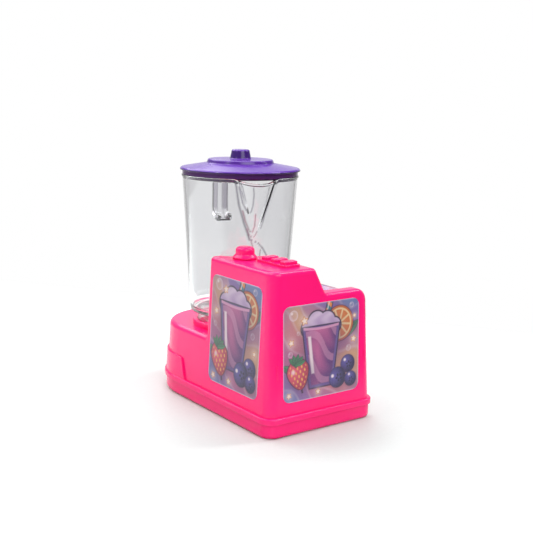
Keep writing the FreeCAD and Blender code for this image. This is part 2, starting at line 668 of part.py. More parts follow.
def make_tray():
    piece = body("base_tray")
    corner = s.near_corner - s.tray_inset
    pad(piece, plan(sketch(piece, "sole"), s.tray_inset, corner), tray_top)
    rounded(piece, s.tray_round, lambda box: level(box, 0.0))
    inside = sketch(piece, "inside", level=s.tray_floor)
    plan(inside, s.tray_inset + s.tray_wall, corner - s.tray_wall)
    pocket(piece, inside, tray_top - s.tray_floor, up=True)
    out = s.box_half + s.box_wall
    walls = sketch(piece, "battery_box", level=s.tray_floor)
    oblong(walls, -out, out, along.box_near - s.box_wall, along.box_far + s.box_wall, s.box_wall)
    pad(piece, walls, s.box_roof + s.box_wall - s.tray_floor)
    boss = sketch(piece, "door_boss", level=s.door_top)
    pad(piece, ring(boss, 0.0, along.door_screw_y, s.boss_radius), s.boss_top - s.door_top)
    for (x, y), name in zip(near_posts + far_posts, ("near_left", "near_right", "far_left", "far_right")):
        pad(piece, ring(sketch(piece, name + "_standoff", level=s.tray_floor / 2), x, y, s.standoff_radius),
            s.post_bottom - s.tray_floor / 2)
        pocket(piece, ring(sketch(piece, name + "_screw_well"), x, y, s.screw_well), s.screw_seat, up=True)
        pocket(piece, ring(sketch(piece, name + "_screw_hole"), x, y, s.screw_hole), s.post_bottom, up=True)
    room = oblong(sketch(piece, "cell_room"), -s.box_half, s.box_half, along.box_near, along.box_far)
    pocket(piece, room, s.box_roof, up=True)
    seat = s.box_half + s.door_rebate
    rebate = sketch(piece, "door_rebate")
    oblong(rebate, -seat, seat, along.box_near - s.door_rebate, along.box_far + s.door_rebate)
    pocket(piece, rebate, s.door_top, up=True)
    tab = sketch(piece, "tab_rebate")
    tab_side = s.tab_half + s.door_gap
    oblong(tab, -tab_side, tab_side, along.box_far + s.door_rebate / 2, along.tab_far + s.door_gap)
    pocket(piece, tab, s.door_top, up=True)
    thread = ring(sketch(piece, "door_screw_pilot"), 0.0, along.door_screw_y, s.door_screw_radius + s.shaft_gap)
    pocket(piece, thread, s.boss_top - past, up=True)
    keep("base_tray", piece)


def make_battery_door():
    piece = body("battery_door")
    gap = s.door_rebate - s.door_gap
    side = s.box_half + gap
    plate = sketch(piece, "plate", level=s.door_bottom)
    oblong(plate, -side, side, along.box_near - gap, along.box_far + gap)
    pad(piece, plate, s.door_top - s.door_bottom)
    tab = sketch(piece, "tab", level=s.door_bottom)
    oblong(tab, -s.tab_half, s.tab_half, along.box_far, along.tab_far)
    pad(piece, tab, s.door_top - s.door_bottom)
    door_rim = sketch(piece, "rim", level=s.door_top)
    edge = s.box_half - s.door_gap
    oblong(door_rim, -edge, edge, along.box_near + s.door_gap, along.box_far - s.door_gap)
    pad(piece, door_rim, s.door_rim_top - s.door_top)
    hollow = sketch(piece, "rim_hollow", level=s.door_top)
    inner = edge - s.box_wall
    oblong(hollow, -inner, inner, along.box_near + s.door_gap + s.box_wall, along.box_far - s.door_gap - s.box_wall)
    pocket(piece, hollow, s.door_rim_top - s.door_top, up=True)
    head = s.door_head_radius + s.screw_gap
    shank = s.door_screw_radius + s.screw_gap
    low = s.door_bottom - past
    seat = s.door_bottom + s.door_head_edge
    top = s.door_top + past
    flare = lathe("door_countersink", [(0.0, low), (head, low), (head, seat), (shank, s.door_top), (shank, top),
                                       (0.0, top)], y=along.door_screw_y)
    keep("battery_door", cut("battery_door", piece, flare))


def screw(name, x, y, seat, length, head=None, up=True):
    """A pan-head screw with a cross recess. Its shank points up from the seat, or down where up is not set."""
    head = s.screw_head if head is None else head
    height = s.head_height * (head / s.screw_head)
    shank = s.pilot_radius * (head / s.screw_head)
    piece = body(name, x=x, y=y, z=seat, turn=0.0 if up else 180.0, axis=(1, 0, 0))
    turned(piece, outline(sketch(piece, "profile", "XZ_Plane"),
                          [(0.0, -height), (head, -height, height / 2), (head, 0.0), (shank, 0.0),
                           (shank, length - shank), (0.0, length)]))
    for axis in (0, 1):
        arm = (head * s.recess_reach, head * s.recess_half)
        recess = sketch(piece, f"recess_{axis}", level=-height)
        oblong(recess, -arm[axis], arm[axis], -arm[1 - axis], arm[1 - axis])
        pocket(piece, recess, height / 2, up=True)
    return piece


def screws(label, seats):
    keep(label, group(label, seats))


def make_screws():
    screws("housing_screws", [screw("housing_screw", x, y, s.screw_seat, s.screw_length)
                              for x, y in near_posts + far_posts])
    small = s.screw_head * s.small_screw
    tiny = s.screw_head * s.tiny_screw
    plate = s.plate_top - s.plate_bottom
    screws("gear_plate_screws", [screw("plate_screw", x, y, s.plate_bottom, plate + s.plate_grip, small)
                                 for x, y in plate_posts])
    screws("motor_screws", [screw("motor_screw", side * s.motor_screw_x, along.motor_y, s.plate_top,
                                  plate + s.motor_grip, tiny, up=False) for side in (-1, 1)])
    screws("key_guide_screws", [screw("guide_screw", across.plinth_x, y, guide_bottom, s.guide_thick + s.guide_grip,
                                      small) for y in guide_bosses])
    screws("switch_board_screws", [screw("board_screw", x, y, board_bottom, s.board_thick + s.board_grip, tiny)
                                   for x, y in board_posts])
    piece = body("door_screw", y=along.door_screw_y)
    seat = s.door_bottom + s.screw_gap
    turned(piece, outline(sketch(piece, "profile", "XZ_Plane"),
                          [(0.0, seat), (s.door_head_radius, seat), (s.door_screw_radius, s.door_top),
                           (s.door_screw_radius, s.door_screw_top - s.door_screw_radius), (0.0, s.door_screw_top)]))
    slot = sketch(piece, "recess", level=s.door_bottom)
    half = s.door_slot / 2
    oblong(slot, -s.door_head_radius * s.recess_reach, s.door_head_radius * s.recess_reach, -half, half)
    pocket(piece, slot, s.door_slot, up=True)
    keep("door_screw", piece)


def coil(name, wire, radius, turns, length, **where):
    """An open spring that stands up from its own origin."""
    piece = body(name, **where)
    section = sketch(piece, "wire", "XZ_Plane")
    ring(section, radius, wire, wire)
    rise = length - 2 * wire
    made = feature(piece, "AdditiveHelix", section, Pitch=rise / turns, Height=rise)
    made.ReferenceAxis = (section, ["V_Axis"])
    made.Mode = 0
    return piece


def make_batteries():
    reach_out = s.contact_gap
    cells = []
    springs = []
    total = s.cell_length + s.nub_length
    for side, y in ((1, along.near_cell_y), (-1, along.far_cell_y)):
        cell = lathe("cell", [(0.0, 0.0), (s.cell_radius, 0.0, s.cell_edge),
                              (s.cell_radius, s.cell_length, s.cell_edge), (s.nub_radius, s.cell_length),
                              (s.nub_radius, total, s.nub_edge), (0.0, total)],
                     x=side * (reach_out - total), y=y, z=s.cell_height, turn=side * 90.0, axis=(0, 1, 0))
        cells.append(cell)
        length = 2 * reach_out - total
        springs.append(coil("contact_spring", s.spring_wire, s.spring_radius, s.spring_turns, length,
                            x=-side * reach_out, y=y, z=s.cell_height, turn=side * 90.0, axis=(0, 1, 0)))
    keep("battery_cells", group("battery_cells", cells))
    keep("contact_springs", group("contact_springs", springs))
    low, high = s.contact_low, s.contact_high
    bridge = cuboid("contact_bridge", reach_out, s.box_half, along.near_cell_y - s.contact_half,
                    along.far_cell_y + s.contact_half, low, high)
    keep("contact_bridge", bridge)
    tabs = [cuboid("contact_tab", -s.box_half, -reach_out, y - s.contact_half, y + s.contact_half, low, high)
            for y in (along.near_cell_y, along.far_cell_y)]
    keep("contact_tabs", group("contact_tabs", tabs))


def make_gear_plate():
    piece = body("gear_plate")
    deck = sketch(piece, "deck", level=s.plate_bottom)
    oblong(deck, -s.plate_half, s.plate_half, along.plate_near, along.plate_far, s.plate_corner)
    pad(piece, deck, s.plate_top - s.plate_bottom)
    boss = ring(sketch(piece, "bush_boss", level=s.bush_bottom), 0.0, along.jar_y, s.plate_boss)
    pad(piece, boss, s.plate_bottom - s.bush_bottom)
    holes = [("bush_hole", 0.0, along.jar_y, s.lower_bush_radius),
             ("motor_hole", 0.0, along.motor_y, s.motor_boss + s.screw_gap)]
    for side, name in ((-1, "left"), (1, "right")):
        holes.append((name + "_motor_screw_hole", side * s.motor_screw_x, along.motor_y, tiny_hole + s.screw_gap))
    for index, (x, y) in enumerate(plate_posts):
        holes.append((f"post_screw_hole_{index}", x, y, s.pilot_radius + s.screw_gap))
    for name, x, y, radius in holes:
        hole = ring(sketch(piece, name, level=s.bush_bottom - past), x, y, radius)
        pocket(piece, hole, s.plate_top - s.bush_bottom + 2 * past, up=True)
    keep("gear_plate", piece)


def flat_sided(piece, name, radius, half, low, high):
    """Adds a round block with two flat sides, as small motors have."""
    disc = ring(sketch(piece, name, level=low), 0.0, 0.0, radius)
    pad(piece, disc, high - low)
    for side, label in ((-1, "near"), (1, "far")):
        flat = sketch(piece, f"{name}_{label}_flat", level=low)
        edges = sorted([side * half, side * (radius + past)], key=number)
        oblong(flat, -radius - past, radius + past, edges[0], edges[1])
        pocket(piece, flat, high - low, up=True)


def make_motor():
    bore = s.motor_shaft_radius + s.shaft_gap
    can = body("motor_can", y=along.motor_y)
    flat_sided(can, "can", s.motor_radius, s.motor_half, s.motor_bottom, s.plate_bottom)
    boss = ring(sketch(can, "bearing_boss", level=s.plate_bottom), 0.0, 0.0, s.motor_boss)
    pad(can, boss, s.plate_top - s.plate_bottom)
    hole = ring(sketch(can, "bore", level=s.motor_bottom), 0.0, 0.0, bore)
    pocket(can, hole, s.plate_top - s.motor_bottom, up=True)
    for side, name in ((-1, "left"), (1, "right")):
        thread = ring(sketch(can, name + "_thread", level=s.plate_bottom), side * s.motor_screw_x, 0.0,
                      tiny_hole + s.shaft_gap)
        pocket(can, thread, s.motor_thread_depth)
    keep("motor_can", can)
    cap = body("motor_cap", y=along.motor_y)
    flat_sided(cap, "cap", s.cap_radius, s.cap_half, s.cap_bottom, s.motor_bottom)
    hole = ring(sketch(cap, "bore", level=s.cap_bottom + s.cap_floor), 0.0, 0.0, bore)
    pocket(cap, hole, s.motor_bottom - s.cap_bottom, up=True)
    keep("motor_cap", cap)
    shaft_bottom = s.cap_bottom + s.cap_floor + s.shaft_end_gap
    keep("motor_shaft", cylinder("motor_shaft", 0.0, along.motor_y, shaft_bottom, s.motor_shaft_top,
                                 s.motor_shaft_radius))


def gear(label, teeth, y, low, high, bore, web=None, phase=0.0):
    """A spur gear with straight-flanked teeth; web, where given, is (hub radius, hub top)."""
    piece = body(label, y=y, turn=phase)
    pitch_radius = teeth * s.tooth_module / 2
    tip = pitch_radius + s.tooth_above * s.tooth_module
    foot = pitch_radius - s.tooth_below * s.tooth_module
    pad(piece, ring(sketch(piece, "blank", level=low), 0.0, 0.0, foot), high - low)
    if web is not None:
        below = low - s.gear_hub_below
        pad(piece, ring(sketch(piece, "hub", level=below), 0.0, 0.0, web[0]), web[1] - below)
    half_foot = s.tooth_foot * s.tooth_module
    half_pitch = s.tooth_middle * s.tooth_module
    half_tip = s.tooth_tip * s.tooth_module
    sunk = foot - s.tooth_module / 2
    tooth = sketch(piece, "tooth", level=low)
    outline(tooth, [(sunk, -half_foot), (foot, -half_foot), (pitch_radius, -half_pitch), (tip, -half_tip),
                    (tip, half_tip), (pitch_radius, half_pitch), (foot, half_foot), (sunk, half_foot)])
    first = pad(piece, tooth, high - low)
    doc.recompute()
    row_of_teeth = piece.newObject("PartDesign::PolarPattern", "teeth")
    row_of_teeth.Originals = [first]
    row_of_teeth.Axis = (tooth, ["N_Axis"])
    row_of_teeth.Angle = 360.0
    row_of_teeth.Occurrences = int(number(teeth))
    bind(row_of_teeth, "Occurrences", teeth)
    piece.Tip = row_of_teeth
    top = high if web is None else web[1]
    hole = ring(sketch(piece, "bore", level=low - past), 0.0, 0.0, bore)
    pocket(piece, hole, top - low + 2 * past, up=True)
    return piece


def make_drive():
    keep("motor_pinion", gear("motor_pinion", s.pinion_teeth, along.motor_y, s.pinion_bottom, s.pinion_top,
                              s.motor_shaft_radius))
    keep("drive_gear", gear("drive_gear", s.gear_teeth, along.jar_y, s.gear_bottom, s.gear_top, s.spindle_radius,
                            web=(s.gear_hub, s.gear_hub_top), phase=180.0 / s.gear_teeth))
    running = s.spindle_radius + s.shaft_gap
    lower = lathe("lower_bush", [(running, s.bush_bottom), (s.lower_bush_radius, s.bush_bottom),
                                 (s.lower_bush_radius, s.plate_top), (running, s.plate_top)], y=along.jar_y)
    keep("lower_bush", lower)
    under = s.platform_top - s.wall
    upper = lathe("upper_bush", [(running, under - s.flange_height), (s.bush_flange, under - s.flange_height),
                                 (s.bush_flange, under), (s.upper_bush_radius, under),
                                 (s.upper_bush_radius, upper_bush_top), (running, upper_bush_top)], y=along.jar_y)
    keep("upper_bush", upper)
    keep("drive_spindle", cylinder("drive_spindle", 0.0, along.jar_y, s.spindle_bottom, spindle_top,
                                   s.spindle_radius))
    disc = [(s.spindle_radius, dog_bottom), (s.dog_radius, dog_bottom), (s.dog_radius, dog_top, s.dog_edge),
            (s.spindle_radius, dog_top)]
    keep("drive_dog", dog("drive_dog", disc, dog_top, 0.0, up=True))
    low = dog_top + s.lug_height + s.lug_gap
    disc = [(s.spindle_radius, low), (s.dog_radius, low, s.dog_edge),
            (s.dog_radius, low + s.dog_disc, s.dog_edge),
            (s.spindle_radius, low + s.dog_disc)]
    keep("driven_dog", dog("driven_dog", disc, low, 60.0, up=False))


def dog(label, disc, face, phase, up):
    """One half of the drive coupling: a disc with three lugs on its face."""
    piece = body(label, y=along.jar_y, turn=phase)
    turned(piece, outline(sketch(piece, "disc", "XZ_Plane"), disc))
    lug = sketch(piece, "lug", level=face)
    oblong(lug, s.lug_inner, s.lug_outer, -s.lug_half, s.lug_half, s.lug_corner)
    first = pad(piece, lug, s.lug_height, back=not up)
    doc.recompute()
    three = piece.newObject("PartDesign::PolarPattern", "lugs")
    three.Originals = [first]
    three.Axis = (lug, ["N_Axis"])
    three.Angle = 360.0
    three.Occurrences = 3
    piece.Tip = three
    return piece


def outer_radius(height):
    """The jar's outside radius at that height."""
    slope = (rim_radius - jar_floor_radius) / (jar_rim - jar_floor)
    return jar_floor_radius + (height - jar_floor) * slope


def spout_cone(label, shrink):
    """The spout as a leaning cone from a small circle low on the wall to a wide one at the rim."""
    low_reach = outer_radius(spout_low) - s.spout_low_radius
    circles = []
    for name, radius, out, height in (("low", s.spout_low_radius, low_reach, spout_low),
                                      ("rim", s.spout_radius, spout_reach, jar_rim)):
        circle = doc.addObject("Part::Circle", f"{label}_{name}")
        place(circle, out * cos(s.spout_angle), along.jar_y + out * sin(s.spout_angle), height)
        circle.Radius = number(radius - shrink)
        bind(circle, "Radius", radius - shrink)
        circles.append(circle)
    cone = doc.addObject("Part::Loft", label)
    cone.Sections = circles
    cone.Solid = True
    cone.Ruled = True
    return cone


def make_handle():
    piece = body("jar_handle", y=along.jar_y, turn=s.handle_angle)
    loops = [(0.0, s.handle_half), (s.handle_web, s.handle_half - s.handle_side),
             (s.handle_depth, s.handle_half + past)]
    root_radius = outer_radius(handle_low) - s.wall / 2
    for (inset, half), name in zip(loops, ("strap", "channel", "finger_room")):
        out = handle_out - inset
        top = handle_top - inset
        low = handle_low + inset
        loop = sketch(piece, name, "XZ_Plane", level=-half)
        inside = root_radius if inset == 0.0 else jar_foot_radius
        outline(loop, [(inside, low), (out, low, s.handle_lower_bend - inset),
                       (out, top, s.handle_upper_bend - inset), (inside, top)])
        if inset == 0.0:
            pad(piece, loop, 2 * half)
        else:
            pocket(piece, loop, 2 * half, up=True)
    return piece


def make_jar():
    floor = jar_floor
    foot_inner = jar_foot_radius - s.wall
    wall = lathe("jar_wall", [(0.0, floor), (foot_inner, floor), (foot_inner, s.platform_top),
                              (jar_foot_radius, s.platform_top, s.foot_edge), (jar_foot_radius, floor),
                              (jar_floor_radius, floor, s.jar_bottom_round), (rim_radius, jar_rim), (0.0, jar_rim)],
                 y=along.jar_y)
    above = jar_rim + past
    room = lathe("jar_room", [(0.0, jar_boss_top), (s.jar_boss, jar_boss_top), (s.jar_boss, jar_inside),
                              (outer_radius(jar_inside) - s.wall, jar_inside, s.jar_inside_round),
                              (outer_radius(above) - s.wall, above), (0.0, above)], y=along.jar_y)
    bore = cylinder("agitator_bush_hole", 0.0, along.jar_y, floor - past, jar_boss_top + past, s.upper_bush_radius)
    lip = body("lip_cut", y=along.jar_y, turn=s.spout_angle)
    lip_half = s.spout_radius + 2 * past
    above_lip = sketch(lip, "above_lip", "XZ_Plane", level=-lip_half)
    lip_start = rim_radius - s.lip_inset
    lip_end = spout_reach + s.spout_radius
    lip_low = jar_rim - s.lip_drop
    out = lip_end + 2 * s.lip_inset
    high = jar_rim + 2 * s.lip_inset
    outline(above_lip, [(lip_start, jar_rim), (lip_end, lip_low), (out, lip_low), (out, high), (lip_start, high)])
    pad(lip, above_lip, 2 * lip_half, back=True)
    solid = joined("jar_solid", [wall, spout_cone("spout_outside", 0.0), make_handle()])
    hollow = joined("jar_hollow", [room, spout_cone("spout_inside", s.wall), bore, lip])
    keep("jar", cut("jar", solid, hollow))


def make_lid():
    ring_inside = lid_ring - s.ring_wall
    under_crown = crown_radius - s.lid_wall
    roof_inside = crown_top - s.lid_wall
    keep("lid", lathe("lid", [
        (0.0, lid_top), (s.grip_top_radius, lid_top, s.grip_round),
        (s.grip_foot, crown_top + s.grip_foot_rise, s.grip_foot_round),
        (crown_radius - s.crown_lean, crown_top, s.crown_round), (crown_radius, crown_foot, s.crown_foot_round),
        (brim_radius - s.brim_slant, brim_top, s.brim_round), (brim_radius, brim_bottom + s.brim_edge),
        (brim_radius, brim_bottom), (rim_radius, brim_bottom), (rim_radius, jar_rim), (lid_ring, jar_rim),
        (lid_ring, lid_ring_bottom), (ring_inside, lid_ring_bottom), (ring_inside, brim_top - s.lid_wall),
        (under_crown, crown_foot - s.lid_wall), (under_crown - s.crown_foot_round, roof_inside),
        (s.grip_foot - s.lid_wall, roof_inside), (s.grip_top_radius - s.lid_wall, lid_top - s.lid_wall),
        (0.0, lid_top - s.lid_wall)], y=along.jar_y))


def make_agitator():
    running = s.spindle_radius + s.shaft_gap
    under = jar_floor
    bush = lathe("agitator_bush", [(running, under - s.flange_height), (s.bush_flange, under - s.flange_height),
                                   (s.bush_flange, under), (s.upper_bush_radius, under),
                                   (s.upper_bush_radius, jar_boss_top), (running, jar_boss_top)], y=along.jar_y)
    keep("agitator_bush", bush)
    keep("agitator_shaft", cylinder("agitator_shaft", 0.0, along.jar_y, agitator_shaft_bottom, agitator_shaft_top,
                                    s.spindle_radius))
    hub = lathe("blade_hub", [(s.spindle_radius, hub_bottom), (s.hub_radius, hub_bottom, s.hub_edge),
                              (s.hub_radius, hub_top, s.hub_round), (0.0, hub_top), (0.0, agitator_shaft_top),
                              (s.spindle_radius, agitator_shaft_top)], y=along.jar_y)
    parts = [hub]
    for step in range(3):
        blade = body("blade", turn=s.blade_tilt, axis=(1, 0, 0))
        face = sketch(blade, "face", level=-s.blade_thick / 2)
        oblong(face, s.blade_root, s.blade_reach, -s.blade_width / 2, s.blade_width / 2, s.blade_corner)
        pad(blade, face, s.blade_thick)
        parts.append(place(group("turned_blade", [blade]), y=along.jar_y, z=blade_height, turn=step * 120.0))
    keep("agitator_blades", joined("agitator_blades", parts))


def make_keys():
    sunk = s.flange_thick / 2
    for name, y in key_rows:
        key = body(f"{name}_key", x=across.key_x, y=y)
        half_across = s.key_width / 2
        half_along = s.key_length / 2
        cap = sketch(key, "cap", level=flange_high - sunk)
        oblong(cap, -half_across, half_across, -half_along, half_along, s.key_corner)
        pad(key, cap, key_top - flange_high + sunk)
        rounded(key, s.key_edge, lambda box: level(box, key_top))
        flange = sketch(key, "flange", level=flange_low)
        half_across = s.flange_width / 2
        half_along = s.flange_length / 2
        oblong(flange, -half_across, half_across, -half_along, half_along, s.flange_corner)
        pad(key, flange, s.flange_thick)
        pad(key, ring(sketch(key, "stem", level=stem_bottom), 0.0, 0.0, s.stem_radius), flange_low - stem_bottom)
        keep(f"{name}_key", key)
        spring = coil(f"{name}_key_spring", s.key_spring_wire, s.key_spring_radius, s.key_spring_turns,
                      s.key_spring_height, x=across.key_x, y=y, z=guide_top)
        keep(f"{name}_key_spring", spring)


def make_key_guide():
    piece = body("key_guide")
    deck = sketch(piece, "deck", level=guide_bottom)
    oblong(deck, across.guide_left, across.guide_right, along.guide_near, along.guide_far, s.guide_corner)
    pad(piece, deck, guide_top - guide_bottom)
    for index, (x, y) in enumerate(board_posts):
        post = ring(sketch(piece, f"board_post_{index}", level=board_top), x, y, s.board_post)
        pad(piece, post, guide_bottom - board_top)
        thread = ring(sketch(piece, f"board_thread_{index}", level=board_top), x, y, tiny_hole)
        pocket(piece, thread, guide_bottom - board_top, up=True)
    holes = [(f"{name}_stem_hole", across.key_x, y, s.stem_radius + s.stem_play) for name, y in key_rows]
    for y, name in zip(guide_bosses, ("near", "far")):
        holes.append((name + "_screw_hole", across.plinth_x, y, s.pilot_radius + s.screw_gap))
    holes.append(("selector_room", across.knob_x, along.knob_y, s.control_radius + s.control_room))
    for name, x, y, radius in holes:
        hole = ring(sketch(piece, name, level=guide_bottom - past), x, y, radius)
        pocket(piece, hole, s.guide_thick + 2 * past, up=True)
    keep("key_guide", piece)


def make_switch_board():
    piece = body("switch_board")
    plate = sketch(piece, "plate", level=board_bottom)
    oblong(plate, across.board_left, across.board_right, along.board_near, along.board_far, s.board_corner)
    pad(piece, plate, board_top - board_bottom)
    for index, (x, y) in enumerate(board_posts):
        hole = ring(sketch(piece, f"screw_hole_{index}", level=board_bottom - past), x, y, tiny_hole + s.screw_gap)
        pocket(piece, hole, s.board_thick + 2 * past, up=True)
    keep("switch_board", piece)
    profile = [(0.0, 0.0), (s.dome_radius, 0.0), (s.dome_radius * s.dome_top, s.dome_height, s.dome_height),
               (0.0, s.dome_height)]
    domes = [lathe("switch_dome", profile, x=across.key_x, y=y, z=board_top) for name, y in key_rows]
    keep("switch_domes", group("switch_domes", domes))


def make_selector():
    running = s.control_shaft + s.shaft_gap
    bush = s.control_bush - s.control_fit
    well = control_shaft_bottom - s.shaft_end_gap
    casing = lathe("rotary_control", [
        (0.0, control_bottom), (s.control_radius, control_bottom), (s.control_radius, roof), (bush, roof),
        (bush, control_bush_top), (running, control_bush_top), (running, well), (0.0, well)],
        x=across.knob_x, y=along.knob_y)
    keep("rotary_control", casing)
    keep("control_shaft", cylinder("control_shaft", across.knob_x, along.knob_y, control_shaft_bottom,
                                   control_shaft_top, s.control_shaft))
    nut = body("control_nut", x=across.knob_x, y=along.knob_y)
    hexagon = sketch(nut, "hexagon", level=s.tower_top)
    turns = [math.radians(60 * step) for step in range(6)]
    corner = s.nut_half / math.cos(math.radians(30))
    outline(hexagon, [(corner * math.cos(turn), corner * math.sin(turn)) for turn in turns])
    pad(nut, hexagon, s.nut_height)
    bore = ring(sketch(nut, "bore", level=s.tower_top - past), 0.0, 0.0, s.control_bush)
    pocket(nut, bore, s.nut_height + 2 * past, up=True)
    keep("control_nut", nut)
    knob = lathe("turn_knob", [
        (s.knob_hollow, knob_bottom), (s.knob_skirt, knob_bottom, s.knob_skirt_round),
        (s.knob_skirt, knob_skirt_top, s.knob_skirt_round), (s.knob_radius, knob_waist, s.knob_foot_round),
        (s.knob_radius, knob_top, s.knob_round), (0.0, knob_top), (0.0, control_shaft_top),
        (s.control_shaft, control_shaft_top), (s.control_shaft, knob_hollow_top), (s.knob_hollow, knob_hollow_top)],
        x=across.knob_x, y=along.knob_y)
    keep("turn_knob", knob)


def make_labels(outer):
    skin = body("label_skin")
    around = plan(sketch(skin, "around", level=s.band_top), s.wall_inset - s.label_thick)
    pad(skin, around, s.tower_top - s.band_top, TaperAngle=-s.draft)
    side = body("side_label_area")
    area = sketch(side, "area", "YZ_Plane", level=-half_width - past)
    oblong(area, along.side_label_near, along.side_label_far, s.side_label_low, s.side_label_high, s.label_corner)
    pad(side, area, s.label_reach)
    end = body("end_label_area")
    area = sketch(end, "area", "XZ_Plane", level=half_length + past)
    oblong(area, across.end_label_left, half_width - s.end_label_right, s.end_label_low, s.end_label_high,
           s.label_corner)
    pad(end, area, s.label_reach, back=True)
    for label, prism in (("side_label", side), ("end_label", end)):
        keep(label, cut(label, shared(label + "_skin", skin, prism), outer))
    front = body("front_label")
    area = sketch(front, "area", "XZ_Plane", level=-along.panel_near - s.front_label_margin)
    inset = s.panel_side_depth
    top = s.shoulder_top - s.panel_top_depth
    low = s.front_label_low
    proud = inset - s.label_thick
    outline(area, [(across.front_label_left, top), (wall_x(top, inset), top, s.panel_bend), (wall_x(low, inset), low),
                   (wall_x(low, proud), low), (wall_x(top + s.label_thick, proud), top + s.label_thick,
                                               s.panel_bend + s.label_thick),
                   (across.front_label_left, top + s.label_thick)])
    pad(front, area, along.panel_far - along.panel_near - 2 * s.front_label_margin, back=True)
    keep("front_label", front)


housing_outside = make_upper_housing()
make_labels(housing_outside)
make_tray()
make_battery_door()
make_screws()
make_batteries()
make_gear_plate()
make_motor()
make_drive()
make_agitator()
make_jar()
make_lid()
make_keys()
make_key_guide()
make_switch_board()
make_selector()
doc.recompute()

failed = [thing.Label for thing in doc.Objects if "Invalid" in thing.State or "Error" in thing.State]
if failed:
    raise RuntimeError(f"failed to build: {failed}")
for label, thing in nodes.items():
    if thing.Shape.isNull() or not thing.Shape.isValid() or not thing.Shape.Solids:
        raise RuntimeError(f"{label} is not a sound solid")
os.makedirs("parts", exist_ok=True)
for label, thing in nodes.items():
    thing.Shape.exportStep(os.path.join("parts", f"{label}.step"))
    box = thing.Shape.BoundBox
    print(f"{label}: {len(thing.Shape.Solids)} solid(s), {thing.Shape.Volume:.0f} mm3,",
          f"x {box.XMin:.1f}..{box.XMax:.1f}, y {box.YMin:.1f}..{box.YMax:.1f}, z {box.ZMin:.1f}..{box.ZMax:.1f}")
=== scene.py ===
import math

import bmesh
import bpy
import numpy as np
from mathutils import Matrix, Vector
from mathutils.bvhtree import BVHTree


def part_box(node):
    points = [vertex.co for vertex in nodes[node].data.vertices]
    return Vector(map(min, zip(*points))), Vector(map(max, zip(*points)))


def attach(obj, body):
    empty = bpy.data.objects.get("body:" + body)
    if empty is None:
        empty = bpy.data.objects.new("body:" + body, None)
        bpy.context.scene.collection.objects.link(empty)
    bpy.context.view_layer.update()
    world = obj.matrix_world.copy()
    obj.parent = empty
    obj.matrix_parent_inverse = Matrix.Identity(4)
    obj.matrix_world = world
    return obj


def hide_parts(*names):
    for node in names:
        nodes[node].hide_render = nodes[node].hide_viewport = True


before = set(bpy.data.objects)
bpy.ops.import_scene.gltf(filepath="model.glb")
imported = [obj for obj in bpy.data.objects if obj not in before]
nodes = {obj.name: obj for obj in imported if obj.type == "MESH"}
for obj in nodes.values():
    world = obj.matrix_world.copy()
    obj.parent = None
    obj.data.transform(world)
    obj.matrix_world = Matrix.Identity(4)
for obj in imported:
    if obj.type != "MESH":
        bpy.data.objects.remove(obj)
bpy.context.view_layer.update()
mm = 0.001
print("frame loaded:", len(nodes), "nodes")


# helpers that build node trees and objects

def add(tree, kind, settings=None, **sockets):
    node = tree.nodes.new(kind)
    for name, value in (settings or {}).items():
        setattr(node, name, value)
    for name, value in sockets.items():
        put(tree, value, node.inputs[name.replace("_", " ")])
    return node


def put(tree, value, socket):  # links a socket, or sets a plain value
    if isinstance(value, bpy.types.NodeSocket):
        tree.links.new(value, socket)
    else:
        socket.default_value = value


def maths(tree, operation, first, second=0.0, clamp=False):
    node = add(tree, "ShaderNodeMath", {"operation": operation, "use_clamp": clamp})
    put(tree, first, node.inputs[0])
    put(tree, second, node.inputs[1])
    return node.outputs[0]


def mixColour(tree, factor, first, second, kind="MIX"):
    node = add(tree, "ShaderNodeMix", {"data_type": "RGBA", "blend_type": kind})
    put(tree, factor, node.inputs[0])
    put(tree, first, node.inputs[6])
    put(tree, second, node.inputs[7])
    return node.outputs[2]


def between(tree, value, low, high, toLow=0.0, toHigh=1.0):
    node = add(tree, "ShaderNodeMapRange", Value=value, From_Min=low, From_Max=high, To_Min=toLow, To_Max=toHigh)
    return node.outputs[0]


def times(tree, first, second, clamp=False):
    return maths(tree, "MULTIPLY", first, second, clamp)


def inObject(tree):  # a point's place in its piece's own frame
    return tree.nodes.new("ShaderNodeTexCoord").outputs["Object"]


def facing(tree):
    return tree.nodes.new("ShaderNodeNewGeometry").outputs["Normal"]


def axisOf(tree, vector, letter):
    return add(tree, "ShaderNodeSeparateXYZ", Vector=vector).outputs[letter]


def noise(tree, place, scale, detail, **sockets):
    return add(tree, "ShaderNodeTexNoise", Vector=place, Scale=scale, Detail=detail, **sockets).outputs[0]


def dot(tree, first, second):
    node = add(tree, "ShaderNodeVectorMath", {"operation": "DOT_PRODUCT"})
    put(tree, first, node.inputs[0])
    put(tree, second, node.inputs[1])
    return node.outputs["Value"]


def rayIs(tree, kind):
    return tree.nodes.new("ShaderNodeLightPath").outputs["Is " + kind + " Ray"]


def addBump(tree, shader, height, look):
    node = add(tree, "ShaderNodeBump", Height=height, Strength=look["bump"], Distance=look["depth"])
    put(tree, node.outputs[0], shader["Normal"])
    return node


def newObject(name, data):
    made = bpy.data.objects.new(name, data)
    bpy.context.scene.collection.objects.link(made)
    return made


def colour(red, green, blue):  # screen values 0 to 255, made linear
    def linear(channel):
        share = channel / 255
        return share / 12.92 if share <= 0.04045 else ((share + 0.055) / 1.055) ** 2.4
    return (linear(red), linear(green), linear(blue), 1.0)


